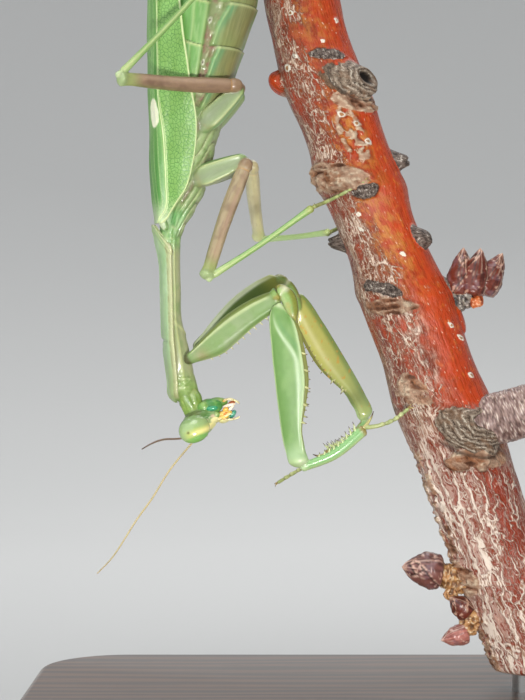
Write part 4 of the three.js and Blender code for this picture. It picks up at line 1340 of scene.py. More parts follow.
def fore_coxa(name, leg, side):
    """The long hip piece of a fore leg. The far one is seen from inside."""
    near = name == "fore_left"

    def lift(s):
        rim = s.keel(127, 6) + s.keel(12, 6) + 0.8 * s.keel(-30, 9) + 0.8 * s.keel(-160, 9)
        belt = ramp(s.t, 0.08, 0.18) * ramp(s.t, 0.99, 0.93)
        hollow = 0.14 * s.keel(92, 30) + 0.16 * s.keel(168, 14)
        return (0.14 * rim - hollow) * belt + 0.014 * noise(s.p, 0.5, 101)

    def paint(s):
        tint = coats("83a060",
            ("90a274", 0.7 * ramp(noise(s.p, 1.3, 103), -0.3, 0.8)),
            ("779855", 0.6 * ramp(s.t, 0.5, 0.85)),
            ("7c8a3f", 0.9 * s.band(168, 40, 28) * ramp(s.t, 0.1, 0.2)),
            ("93a556", 0.7 * s.keel(176, 7)),
        )
        edge = s.keel(127, 5) + 0.8 * s.keel(12, 5)
        tint = coats(tint,
            ("d3dda6", 0.9 * edge * ramp(s.t, 0.05, 0.12) * ramp(s.t, 0.97, 0.9)),
            (PINK, 0.35 * hill(s.t, 0.17, 0.06) * s.keel(60, 45)),
            ("4a3a22", 0.8 * ramp(s.t, 0.075, 0.04)),
            ("c4cd92", 0.6 * ramp(s.t, 0.95, 1.0)),
        )
        if not near:
            tint = coats(tint,
                ("5b7429", 0.85 * s.band(-104, 34, 24)),
                # Painted highlight: the pale strip along the far coxa's upper ridge.
                ("dfe9bd", 0.95 * s.band(-152, 20, 12)),
                ("7f9c4c", 0.8 * s.band(172, 18, 10)),
                ("a9ad4e", 0.6 * ramp(s.t, 0.75, 0.95)),
            )
        return tint, 0.38

    middle = along(leg.hip, leg.trochanter, 0.5)
    path = [leg.hip, middle, leg.trochanter]
    flexor = vec(0.3, 0, -1)
    return limb(
        path, FORE_COXA, flexor, side, sides=64, full=0.9, lift=lift, paint=paint, dome=0.7,
    ), path, flexor


def fore_trochanter(leg, side):
    """The bent piece between coxa and femur."""
    rows = [[0, 0.7, 0.8, 0.8], [0.3, 0.85, 1.0, 0.95], [0.7, 0.75, 0.95, 0.85], [1, 0.4, 0.45, 0.45]]

    def lift(s):
        return -0.1 * hill(s.t, 0.3, 0.04) + 0.08 * s.keel(60, 14) + 0.08 * s.keel(150, 12)

    def paint(s):
        return coats("8fae62",
            ("82883a", s.band(180, 80, 50)),
            ("bdd098", 0.8 * s.keel(50, 22) * ramp(s.t, 0.25, 0.4)),
            ("e0e2bb", 0.7 * hill(s.t, 0.3, 0.04)),
            ("b0a05a", 0.6 * ramp(noise(s.p, 0.8, 105), 0.1, 0.7)),
        ), 0.26

    return limb(
        leg.bend, rows, leg.hip - leg.bend[2], side, sides=36, step=0.12, lift=lift, paint=paint, dome=0.5,
    )


def fore_femur(name, leg, side):
    """The broad grasping thigh, with a painted highlight line along a low ridge on its outer face, and a
    spined channel.
    """
    near = name == "fore_left"

    def ridge(s):
        return 150 - 82 * ramp(s.t, 0.0, 0.36)

    def sheen(s):
        return s.keel(ridge(s), 7) * ramp(s.t, 0.03, 0.2) * ramp(s.t, 0.95, 0.75)

    def lift(s):
        belt = ramp(s.t, 0.02, 0.08) * ramp(s.t, 0.93, 0.84)
        rim = 0.14 * s.keel(170, 5) + 0.24 * s.keel(52, 7) + 0.08 * sheen(s)
        channel = -0.42 * s.keel(0, 15) * ramp(s.t, 0.16, 0.26) * ramp(s.t, 0.98, 0.9)
        edges = 0.14 * (s.keel(24, 6) + s.keel(-24, 6)) - 0.14 * s.keel(38, 7)
        lobe = 0.3 * ramp(s.left, 1.8, 1.0) * (s.keel(90, 36) + s.keel(-90, 36)) * ramp(s.left, 0.1, 0.6)
        step = 0.08 * ramp(s.mm, 0.9, 0.5)
        return (rim + edges) * belt + channel + step + lobe + 0.010 * noise(s.p, 0.6, 107)

    def paint(s):
        tint = mix("6e974e", "84a862", 0.7 * ramp(noise(s.p * vec(1, 1, 0.5), 1.4, 109), -0.2, 0.8))
        line = sheen(s)
        tint = coats(tint,
            ("5d9150", 0.6 * s.keel(ridge(s) - 20, 10) * ramp(s.t, 0.02, 0.15)),
            # Painted highlight along the sheen line.
            ("d2e6c0", 0.8 * line),
            ("c3dcb0", 0.6 * ramp(s.t, 0.8, 0.97)),
        )
        inner = ramp(s.angle, 8, -20)
        tint = mix(tint, "a3a052", 0.8 * inner)
        stripe = s.band(26, 24, 18) * ramp(s.t, 0.0, 0.1) * ramp(s.t, 0.9, 0.8)
        tint = coats(tint, ("7f8038", 0.9 * stripe), ("a08f5f", 0.8 * s.keel(0, 12)))
        edge = s.keel(52, 6) + s.keel(170, 5)
        tint = coats(tint,
            # Pale on the ridge at 52 is a painted highlight. Along the upper edge at 170 it is the femur's
            # own pale line.
            ("cfe0ac", 0.9 * edge * ramp(s.left, 1.2, 2.2)),
            ("d0dfac", 0.8 * ramp(s.mm, 0.75, 0.3) * ramp(s.angle, 0, 40)),
        )
        if not near:
            freckles = ramp(noise(s.p, 0.55, 111), 0.62, 0.9)
            tint = coats(tint,
                ("cfcd72", 0.9 * s.band(-70, 70, 30)),
                ("86a14e", 0.7 * s.band(-140, 45, 15)),
                ("e5e2a4", 0.8 * s.keel(-60, 12)),
                ("a9c07c", 0.7 * ramp(s.t, 0.35, 0.9)),
                ("e0a84c", 0.7 * freckles),
            )
        knee = ramp(s.left, 1.5, 0.7)
        return coats(tint,
            ("b9d294", 0.7 * knee),
            # Painted highlight on the knee's lobe.
            ("e6efd0", 0.5 * knee * s.keel(70, 25)),
        ), 0.22 if not near else 0.46 - 0.24 * line

    def shift(s):
        over = np.cos(np.radians(s.angle))
        return (1.3 * ramp(over, -0.2, 1.0) - 0.5 * ramp(over, 0.2, -0.8)) * ramp(s.mm, 4.5, 0.0)

    path = [leg.root, leg.knee]
    flexor = leg.ankle - leg.knee
    return limb(
        path, FORE_FEMUR, flexor, side, sides=84, full=0.92, lift=lift, shift=shift, paint=paint, dome=0.8,
    ), path, flexor


def fore_tibia(leg, side):
    """The bowed piece that folds against the femur."""
    def lift(s):
        return 0.05 * (s.keel(25, 8) + s.keel(-25, 8)) - 0.1 * s.keel(0, 12) + 0.06 * s.keel(180, 9)

    def paint(s):
        return coats("8fc07d",
            ("c0d79a", 0.8 * s.band(180, 70, 20)),
            ("74a55c", 0.4 * s.keel(90, 25)),
            ("b9ad76", 0.8 * ramp(np.abs(s.angle), 26, 10)),
            (KNEE_PALE, 0.7 * ramp(s.mm, 1.3, 0.5)),
            ("9c7a48", 0.8 * ramp(s.left, 1.0, 0.3)),
        ), 0.26

    bow = unit(along(leg.knee, leg.ankle, 0.5) - leg.trochanter) * 0.8
    path = [leg.knee, along(leg.knee, leg.ankle, 0.5) + bow, leg.ankle]
    flexor = leg.trochanter - leg.knee
    return limb(path, FORE_TIBIA, flexor, side, sides=40, lift=lift, paint=paint, dome=0.5), path, flexor


def thorn(root, tip, radius, pale, dark, bend=None, sides=10):
    """A curved spine with a dark tip."""
    middle = (root + tip) / 2 + (0 if bend is None else bend)

    def paint(s):
        return mix(pale, dark, ramp(s.t, 0.55, 0.85)), 0.3

    rows = [[0, radius, radius, radius], [0.5, radius * 0.62, radius * 0.66, radius * 0.66],
            [1, radius * 0.12, radius * 0.12, radius * 0.12]]
    return limb([root, middle, tip], rows, vec(0.3, 1, 0.2), step=0.1, sides=sides, dome=0.05, paint=paint,
                name="thorn", material=SHELL)


def spine_row(path, rows, flexor, count, span, length, around, lean, outward, radius, pale, dark,
              alternate=0.0):
    """A row of spines on the side a limb bends towards."""
    walk = Walk(path)
    things = []
    for i in range(count):
        t = span[0] + (span[1] - span[0]) * i / (count - 1)
        d = t * walk.length
        centre, tangent = walk.at(d), walk.way(d)
        forward = unit(flexor - tangent * np.dot(tangent, flexor))
        sideways = np.cross(tangent, forward)
        half, _, front = smooth(rows)(t)
        turn = math.radians(around)
        out = sideways * math.sin(turn) * half + forward * math.cos(turn) * front
        root = centre + out * 0.82
        reach = length(i) if callable(length) else length
        if alternate and i % 2:
            reach *= alternate
        way = unit(forward + tangent * lean + sideways * math.copysign(outward, around or 1))
        things.append(thorn(root, root + way * (reach + 0.3), radius, pale, dark, tangent * 0.05))
    return things


def claws(leg):
    """Two hooked claws at the end of a foot."""
    tip, before = leg.foot[-1], leg.foot[-2]
    way = unit(tip - before)
    x, y, _ = BRANCH(tip[2])
    down = unit(vec(x, y, tip[2]) - tip)
    across = np.cross(way, down)
    hooks = []
    for side in (-1, 1):
        end = tip + way * 0.75 + across * side * 0.35 + down * 0.3
        hooks.append(thorn(tip + across * side * 0.08, end, 0.1, "a98f52", DARK_TIP, -down * 0.12))
    return hooks


# ---- Wings ----

WING_FOOT, WING_TIP = 65.6, 100.4
WING_EDGES = smooth([
    [0, 52, 4], [0.05, 75, -2], [0.12, 97, -18], [0.22, 106, -27], [0.34, 103, -30], [0.48, 89, -30],
    [0.66, 73, -28], [0.82, 61, -23], [0.92, 50, -14], [0.98, 36, 0], [1, 26, 10],
])
RADIUS_VEIN = smooth([
    [0, 38], [0.043, 54.4], [0.139, 56.7], [0.305, 52.2], [0.472, 43.5], [0.637, 40.5], [0.771, 38],
    [0.9, 30], [1, 22],
])
STIGMA_ENDS = (77.0, 81.8)
STIGMA = smooth([[77.0, 36.5], [78.5, 34.5], [80.0, 33], [81.8, 31]])
WING_THICK = 0.18
WING_VEINS = 8


def wing(name):
    """A fore wing lying on the body: a thin curved shell with raised veins."""
    side = SIDES[name]
    t = np.linspace(0, 1, 300)
    z = WING_FOOT + (WING_TIP - WING_FOOT) * t
    lead, inner = columns(WING_EDGES(t))
    radius = RADIUS_VEIN(t)
    u = np.linspace(0, 1, 190)[None, :]
    angle = lead + (inner - lead) * u
    zz = z[:, None] + 0 * u
    wide = (TRUNK(z)[:, 2][:, None] + 0.6) * math.pi / 180
    from_lead = (lead - angle) * wide
    from_radius = (radius - angle) * wide
    tt = t[:, None] + 0 * u
    rest = 0.35 + (0.8 * (1 - ramp(angle, 42, 62)) if name == "left" else 0)
    sag = 0.04 * grain(angle / 14, zz / 4, 121)
    costa = hill(from_lead, 0.12, 0.10)
    main = hill(from_radius, 0.07, 0.05) + 0.6 * hill(from_radius, -0.12, 0.045)
    fan = np.zeros_like(angle)
    for k in range(1, WING_VEINS):
        share = k / WING_VEINS
        path = radius + (inner - radius) * share
        bend = path + 5 * np.sin(tt * 3.0 + k) * share
        fan = fan + hill((bend - angle) * wide, 0, 0.07) * ramp(tt, 0.02, 0.08) * ramp(tt, 0.98, 0.9)
    near = np.clip(zz, *STIGMA_ENDS)
    from_stigma = (
        (angle - STIGMA(near)[..., 0]) * wide / 1.05
        + 0.12 * noise(xyz(0 * zz, zz, 0), 0.9, 122)
    )
    stigma = ramp(np.hypot(from_stigma, (zz - 79.4) / 1.9), 1.05, 0.88)
    lift = 0.09 * costa + 0.07 * main + 0.035 * np.clip(fan, 0, 1) + 0.03 * stigma + sag
    edge = np.minimum(u, 1 - u) * (lead - inner) * wide
    thin = WING_THICK * np.clip(ramp(edge, -0.05, 0.25), 0.25, 1)
    mirror = vec(1, -side, 1)
    outer = trunk_point(zz, angle, rest + thin + lift) * mirror
    under = trunk_point(zz, angle, rest + sag) * mirror
    tint = mix(WING_GREEN, "8dbd66", ramp(noise(outer, 2.2, 123), -0.4, 0.6))
    disc = ramp(from_radius, 0.0, 0.5)
    streak = grain(from_radius / 0.42, zz / 7, 125)
    tint = coats(tint,
        ("7bb066", 0.6 * disc),
        (WING_STREAK, disc * 0.45 * ramp(streak, 0.1, 0.8)),
        (WING_DEEP, disc * 0.85 * ramp(streak, 0.0, -0.7)),
        ("4d8a41", 0.6 * disc * ramp(zz, 80, 72)),
        ("b9d992", 0.5 * np.clip(fan, 0, 1)),
        ("c9dcae", 0.7 * ramp(tt, 0.1, 0.02)),
        (VEIN_CREAM, np.clip(1.4 * costa, 0, 1) * 0.9 + np.clip(1.3 * main, 0, 1)),
        (STIGMA_CREAM, stigma),
    )
    marks, own = cells(xyz(from_radius / 0.5, zz / 1.3, 0), 1.0, 127)
    tint = mix(tint, "4b6a3a", 0.7 * disc * (own > 0.93) * ramp(marks, 0.25, 0.4))
    veined = ramp(from_radius, -0.05, -0.25) * ramp(from_lead, 0.2, 0.4) + 0.35 * disc
    veined = veined * (1 - stigma) * ramp(tt, 0.01, 0.06)
    flat = xyz(angle * wide, zz, 0)
    fields = {"tint": tint, "rough": np.full(tint.shape[:2], 0.36), "net": veined, "flat": flat,
              "disc": ramp(from_radius, -0.3, 0.3)}
    fields = {key: spread(there_and_back(values)) for key, values in fields.items()}
    verts, faces = closed(there_and_back(outer, under))
    thing = body(f"wing_{name}", verts, faces, fields, wing_material())
    return finished(thing, "wing", f"tegmen_{name}")


def wing_material():
    """Wing colour with a net of fine veins. Both wings share it."""
    if "wing_cuticle" in bpy.data.materials:
        return bpy.data.materials["wing_cuticle"]
    m = Shade("wing_cuticle")
    flat = m.field("flat", "Vector")
    net = m.field("net")
    bent = m.bent(flat, flat.scaled(1, 0.8, 1), (0.35, 0.35, 0.0), Scale=1.4)
    wall = m.walls(bent, 2.3, "2D")
    fine = m.walls(bent, 5.0, "2D")
    line = wall.ramp(0.11, 0.02)
    hair = fine.ramp(0.16, 0.04) * 0.3
    line = (line | hair) * net
    patchy = m.noise(flat, 0.8, 3)
    deep = m.mix(WING_DEEP, "3a7030", patchy)
    tint = m.mix(m.field("tint", "Color"), deep, line * 0.95)
    dome = wall.ramp(0.0, 0.45) * net
    height = dome * 0.4 + m.noise(flat, 9, 3) * 0.3
    normal = m.bump(height, 0.00004)
    value = m.noise(flat, 5, 4).line(0.22, 0.89)
    tint = m.tinted(tint, value)
    return m.done(
        Base_Color=tint, Roughness=patchy.line(0.2, 0.3), Normal=normal, Subsurface_Weight=0.1,
        Subsurface_Radius=(0.3, 0.5, 0.15), Subsurface_Scale=0.0004,
    )


# ---- Branch ----

BARK_RED, BARK_ORANGE, BARK_DEEP = "ab3c14", "cb4416", "7a2c10"
BARK_GREY, BARK_PALE = "9c7056", "ead8c6"
TAN, TAN_DARK = "bb967c", "8b5c40"

BARK_RADIUS, ARC_RADIUS = 5.8, 5.6
CUT_FACE = [0.05, 0.5, 0.8, 0.94]
# Scars of old shoots, warts, and the two collared knots: height, degrees, lift, and half size in mm.
STUBS = [
    (73.8, 85, 1.6, 1.4, 1.3), (63.8, 58, 1.4, 1.5, 1.4), (63.2, -95, 1.5, 1.2, 1.2),
    (57.4, 88, 1.6, 1.5, 1.5),
]
WARTS = [
    (83.8, -95, 1.7, 1.5, 1.6), (36.6, 24, 0.9, 1.2, 1.0), (35.2, -14, 0.6, 0.9, 1.5),
    (34.9, 12, 0.6, 0.7, 0.7), (53.6, 86, 0.5, 1.7, 1.3),
]
COLLARS = [
    ((83.8, 45, 1.5, 2.35, 3.2), (84.0, 49, 0.7, 0.95, 1.3)),
    ((39.6, 20, 0.9, 3.0, 4.0), (40.6, 34, 1.3, 1.2, 1.6)),
]
# Pale pores: height and degrees.
LENTICELS = [
    (92.3, -23), (91.5, 47), (86.7, -33), (85.3, -53), (79.1, 2), (77.9, 16), (75.7, 24), (66.5, -24),
    (64.7, -27), (61.5, 12), (52.6, 42), (50.9, 55), (46.3, 47), (98, 20), (103, -10), (88.6, 12),
    (95.5, 150), (80, 170), (70, -140), (58, 140), (47, -130), (30, 160), (25, 90),
]


def arc(height, degrees, at_height, at_angle):
    """Distances in mm along the branch and round it from one of its points."""
    return height - at_height, np.radians(turned(degrees, at_angle)) * ARC_RADIUS


def branch():
    """The length of branch: glossy red bark under a grey net, with nodes, scars and knots."""
    z = np.arange(BRANCH_FOOT, BRANCH_TOP, 0.2)
    inset = np.concatenate([CUT_FACE, np.ones(len(z)), CUT_FACE[::-1]])[:, None]
    z = np.concatenate([[z[0]] * len(CUT_FACE), z, [z[-1]] * len(CUT_FACE)])[:, None]
    degrees = circle(188, -180, 180)[None, :]
    zz, dd = z + 0 * degrees, degrees + 0 * z
    turn = np.radians(dd)
    straight = xyz(BARK_RADIUS * np.sin(turn), BARK_RADIUS * np.cos(turn), zz)
    ragged, small = noise(straight, 2.5, 145), noise(straight, 0.9, 146)

    def oval(along, tall, at, wide, low, high, torn=0.0):
        """A patch: mm from its middle along the branch and degrees round it, over its size."""
        return ramp(np.hypot(along / tall, turned(dd, at) / wide) + torn * small, low, high)

    lift = 0.16 * noise(straight * vec(1, 1, 0.4), 4.0, 141)
    lift = lift + 0.04 * noise(straight * vec(1, 1, 0.3), 0.8, 143, 2)
    net = 0.08 + 0.5 * band(dd, -95, 120, 55) + 0.38 * ramp(zz, 46, 36)
    net = net - 0.25 * band(dd, 60, 75, 40) * ramp(zz, 40, 46) - 0.15 * ramp(zz, 78, 92) + 0.34 * ragged
    warm = band(dd, 75, 85, 30) * ramp(zz, 36, 44) + 0.5 * ramp(ragged, 0.1, 0.9)
    pale = hill(zz, 50, 6.5) * keel(dd, -8, 16)
    pale = pale + 0.45 * ramp(zz, 36, 28) * keel(dd, -20 + 8 * np.sin(zz / 3), 26)
    pale = pale * ramp(small, -0.6, 0.4)
    fold = 1 - np.abs(noise(straight * vec(0.7, 0.7, 2.2), 1.7, 147))
    fold = fold - 0.3 * np.abs(noise(straight, 0.6, 148))
    tan = most(
        oval(zz - 71.2 - 0.5 * ragged, 2.0, -48, 62, 1.15, 0.7),
        0.8 * oval(zz - 77 - ragged, 4.0, 6, 20, 1.3, 0.6) * ramp(small, -0.3, 0.3),
        oval(zz - 81.0, 1.5, 38, 42, 1.2, 0.8),
        0.9 * oval(zz - 54.8 - 0.4 * ragged, 1.0, -28, 38, 1.2, 0.7),
        0.8 * oval(zz - 36.0, 1.4, 20, 40, 1.2, 0.7),
        0.7 * ramp(zz, 39, 35) * band(dd, -82, 34, 20) * ramp(small, -0.4, 0.2),
        0.9 * oval(zz - 20.3, 2.4, -72, 38, 1.2, 0.6),
    )
    lift = lift + tan * (0.30 + 0.75 * (fold - 0.6))
    scar = most(
        oval(zz - 69.3 - 0.03 * dd, 0.75, 0, 20, 1.15, 0.85, 0.3),
        oval(zz - 56.6 + 0.02 * dd, 0.85, -29, 25, 1.15, 0.85, 0.35),
        0.9 * oval(zz - 86.9, 0.7, 14, 30, 1.15, 0.85, 0.3),
    )
    tan = most(tan, 0.6 * oval(zz - 44.5, 2.2, -38, 24, 1.15, 0.85, 0.3))
    lift = lift + scar * (0.12 + 0.30 * noise(straight, 0.8, 149))
    lift = lift + 0.25 * hill(zz + 0.4 * ragged, 70.4, 1.8) + 0.2 * hill(zz + 0.4 * ragged, 56.6, 1.2)
    knot, ring, dark = (np.zeros_like(zz) for _ in range(3))

    def gap_from(place):
        height, at, out, tall, wide = place
        up, side = arc(zz, dd, height, at)
        return np.hypot(up / tall, side / wide) + 0.06 * ragged + 0.03 * small, out

    for mound, hollow in COLLARS:
        gap, out = gap_from(mound)
        inner, depth = gap_from(hollow)
        up, side = arc(zz, dd, hollow[0], hollow[1])
        turns = np.hypot(up * 1.25, side) + 0.3 * small + 0.35 * ragged
        ring = np.where(gap < 1.3, turns, ring)
        rough_skin = ramp(gap, 1.1, 0.95)
        below = ramp(zz - mound[0], -0.3 * mound[3], -0.8 * mound[3])
        lift = lift + out * ramp(gap, 1.15, 0.6) + (0.022 * np.sin(turns * 7) + 0.10 * small) * rough_skin
        lift = (
            lift - depth * ramp(inner, 1.0, 0.45) + 0.22 * hill(inner, 1.25, 0.2)
            - 0.35 * below * hill(gap, 1.16, 0.09)
        )
        # Painted shade: near-black in each knot's hollow, and a dark line under the collar's lower edge.
        dark = most(dark, ramp(inner + 0.2 * small, 0.95, 0.6), 0.8 * below * hill(gap, 1.16, 0.07))
        knot = most(knot, ramp(gap + 0.12 * small, 1.12, 0.95))
    up, side = arc(zz, dd, 84.0, 14)
    patch = ramp(np.hypot(up / 2.1, side / 1.9) + 0.3 * small, 1.15, 0.8)
    knot = most(knot, patch)
    lift = lift + 0.25 * patch
    for place in STUBS:
        gap, out = gap_from(place)
        mound = ramp(gap, 1.15, 0.45)
        lift = lift + mound * (out + 0.45 * noise(straight, 0.7, 151))
        scar = most(scar, ramp(gap, 1.3, 0.9))
    for place in WARTS:
        gap, out = gap_from(place)
        lift = lift + out * np.sqrt(np.clip(1 - (gap / 1.15) ** 2, 0, 1))
        tan = most(tan, ramp(gap, 1.1, 0.8) * (zz < 50))
        warm = most(warm, ramp(gap, 1.2, 0.7) * (zz > 50))
        net = net - 0.8 * ramp(gap, 1.25, 0.9) * (zz > 50)
    flake = np.zeros_like(zz)
    for i, (height, at) in enumerate(LENTICELS):
        up, side = arc(zz, dd, height, at)
        large = 0.8 + 0.5 * (i * 0.618 % 1)
        gap = np.maximum(np.abs(up) / 0.5, np.abs(side) / 0.6) * 0.5 + 0.5 * np.hypot(up / 0.5, side / 0.6)
        lift = lift + 0.16 * ramp(gap / large, 1.2, 0.5)
        flake = most(flake, 1 - gap / large + 0.35 * small)
    p = bark_point(zz, dd, lift)
    ends = np.clip(np.minimum(zz - BRANCH_FOOT, z[-1] - zz) / 0.6, 0, 1)
    size = 1 - 0.10 * (1 - np.sqrt(1 - (1 - ends) ** 2))
    axis = xyz(BRANCH(zz)[..., 0], BRANCH(zz)[..., 1], zz)
    p = axis + (p - axis) * (size * inset)[..., None]
    verts, faces = closed(p)
    # Painted sheen: a golden band at three heights on the side that faces the camera.
    gold_sheen = band(dd, 2, 42, 12) * (hill(zz, 77, 5) + hill(zz, 64, 7) + 0.6 * hill(zz, 92, 6))
    masks = {"gold_sheen": gold_sheen, "warm": warm, "pale": pale, "tan": tan, "scar": scar}
    fields = {
        "flat": straight, "net": net, "fold": fold, "knot": knot, "ring": ring, "flake": flake,
        "dark": dark, "low": ramp(zz + 2.5 * ragged, 43, 34), "cut": np.where(inset < 1, 1.0, 0.0) + 0 * zz,
        "age": inset + 0.02 * small, **{name: np.clip(mask, 0, 1) for name, mask in masks.items()},
    }
    thing = body("bark", verts, faces, {k: spread(v) for k, v in fields.items()}, bark_material())
    return finished(thing, "bark", "branch")


def bark_material():
    """Red bark, then its net, then tan bark, crusts, scars, pores and the cut ends over it."""
    m = Shade("red_bark")
    flat = m.field("flat", "Vector")
    net, warm, pale, tan, fold = map(m.field, ("net", "warm", "pale", "tan", "fold"))
    scar, knot, ring, flake, dark = map(m.field, ("scar", "knot", "ring", "flake", "dark"))

    def stretched(along, wobble, scale):
        return m.bent(flat, flat.scaled(1, 1, along), (wobble,) * 3, Scale=scale, Detail=1.0)

    broad = m.noise(flat, 0.4, 4)
    fibre = m.noise(stretched(0.16, 0.5, 0.7), 3.2, 5, 0.7)
    red = m.mix(BARK_DEEP, BARK_RED, (broad * 0.6 + fibre * 0.5).ramp(0.42, 0.64))
    glow = warm * fibre.ramp(0.25, 0.6)
    smooth_side = warm * net.ramp(0.55, 0.2)
    red = m.coats(red,
        ("b8400f", smooth_side * 0.55),
        (BARK_ORANGE, glow * 0.9),
        ("d9772c", glow * m.noise(flat, 1.1, 4).ramp(0.55, 0.75)),
        # Golden painted sheen.
        ("c07a34", m.field("gold_sheen") * m.noise(flat, 0.9, 5, 0.7).ramp(0.42, 0.62)),
    )

    def strand(scale, along, wobble, thick):
        wall = m.walls(stretched(along, wobble, 0.8), scale)
        width = net * fibre.line(thick, thick * 0.5)
        return (wall - width).ramp(0.035, -0.02)

    coarse = strand(0.7, 0.3, 1.5, 0.075)
    waves = m.noise(stretched(0.28, 1.6, 0.9), 1.5, 3, 0.55)
    thin = abs(waves - 0.5) - net * 0.022
    thin = thin.ramp(0.012, 0.0) * net.ramp(0.12, 0.5)
    middle = strand(1.5, 0.22, 1.0, 0.08) * (net.ramp(0.45, 0.9) * net.ramp(1.15, 0.95))
    hairs = m.noise(stretched(0.12, 0.5, 0.9), 6.0, 3, 0.6)
    hair = abs(hairs - 0.5).ramp(0.035, 0.012) * net.ramp(0.2, 0.9)
    coarse = coarse * net.ramp(0.12, 0.4)
    lines = coarse | thin | (middle | hair * 0.45)
    lines = lines | pale * fibre.ramp(0.4, 0.56)
    low = m.field("low")
    bold = strand(0.55, 0.25, 1.3, 0.078) | strand(1.0, 0.25, 1.5, 0.045) * 0.8
    lines = lines * low.line(-0.6, 1.0) | bold * low
    tone = hairs.ramp(0.42, 0.58) * 0.8 + pale * 0.5
    grey = m.coats(BARK_GREY, (BARK_PALE, tone), ("f0e2d0", net.ramp(0.8, 1.1) * fibre.ramp(0.35, 0.5)))
    dim = net.ramp(0.4, 0.8) * net.ramp(1.1, 0.9)
    red = m.coats(red, ("7c3f1e", dim * broad.ramp(0.3, 0.55)), ("8f2f14", low * 0.65))
    grey = m.mix(grey, "ecdccd", low * hairs.ramp(0.4, 0.56))
    tint = m.mix(red, grey, lines * 0.95)
    dots = m.add("TexVoronoi", {"Vector": stretched(0.6, 0.5, 1.0), "Scale": 1.9}, "Distance")
    speck = dots.ramp(0.17, 0.1) * m.noise(flat, 0.8, 2).ramp(0.4, 0.52)
    tint = m.mix(tint, "e6cdb4", speck * (0.85 - lines))

    wrinkle = m.noise(stretched(1.6, 1.2, 1.1), 1.8, 6, 0.75)
    crumple = fold * 0.55 + wrinkle * 0.5
    bark = m.coats(TAN_DARK,
        (TAN, crumple.ramp(0.36, 0.56)),
        ("a6683c", broad.ramp(0.5, 0.62) * 0.5),
        # Painted highlight on the crests of the folds, and painted shade in their creases.
        ("e0c9ac", crumple.ramp(0.6, 0.8)),
        ("54301c", crumple.ramp(0.33, 0.24) * 0.8),
    )
    tint = m.mix(tint, bark, (tan + wrinkle.line(0.8, -0.4)).ramp(0.35, 0.6))

    loops = m.math("SINE", ring * 9.0 + wrinkle * 9.0)
    crust = m.coats("7c6856",
        ("b09c88", wrinkle.ramp(0.36, 0.62)),
        # Painted highlight on the crests of the rings, and painted shade in their troughs.
        ("dccfbc", loops.ramp(0.35, 1.0) * hairs.ramp(0.4, 0.54)),
        ("4b3828", loops.ramp(-0.45, -1.0) * hairs.ramp(0.64, 0.46)),
        ("8a6547", m.noise(flat, 0.9, 2).ramp(0.5, 0.65) * 0.6),
        # Painted shade in the deepest wrinkles.
        ("3a2c22", wrinkle.ramp(0.4, 0.32)),
    )
    # The near-black from the dark field is painted shade.
    tint = m.coats(tint, (crust, (knot + wrinkle.line(0.8, -0.4)).ramp(0.4, 0.6)), ("1c110b", dark))

    spots = m.noise(flat, 2.6, 4, 0.75)
    char = m.coats("33241d", ("7b6c62", spots.ramp(0.4, 0.54)), ("e2dace", spots.ramp(0.57, 0.64)))
    tint = m.mix(tint, char, (scar + wrinkle.line(0.8, -0.4)).ramp(0.4, 0.58))
    chip = (flake + spots.line(0.8, -0.4)).ramp(0.3, 0.45)
    core = (flake + spots.line(-0.8, 0.4)).ramp(0.7, 0.85)
    tint = m.mix(tint, m.mix("efe6d6", "b07a48", core), chip)

    rings = m.math("SINE", m.field("age") * 60.0)
    wood = m.coats("c59c68",
        ("a87b4a", rings.ramp(0.2, 1.0)),
        ("8d6238", m.noise(flat, 1.4, 4).ramp(0.5, 0.7)),
    )
    tint = m.mix(tint, wood, m.field("cut"))

    rough_parts = tan | m.field("cut") | (knot | scar)
    relief = lines.line(0.7, fibre * 0.6)
    relief = relief + rough_parts * (crumple + spots * 1.2)
    relief = relief + loops * knot * 0.25
    normal = m.bump(relief, 0.00025)
    dull = lines * 0.8 | rough_parts
    rough = dull.line(0.34, fibre.line(0.2, 0.18))
    return m.done(Base_Color=tint, Roughness=rough, Normal=normal)


BUD_SCALES, GOLDEN_TURN = 9, 137.5


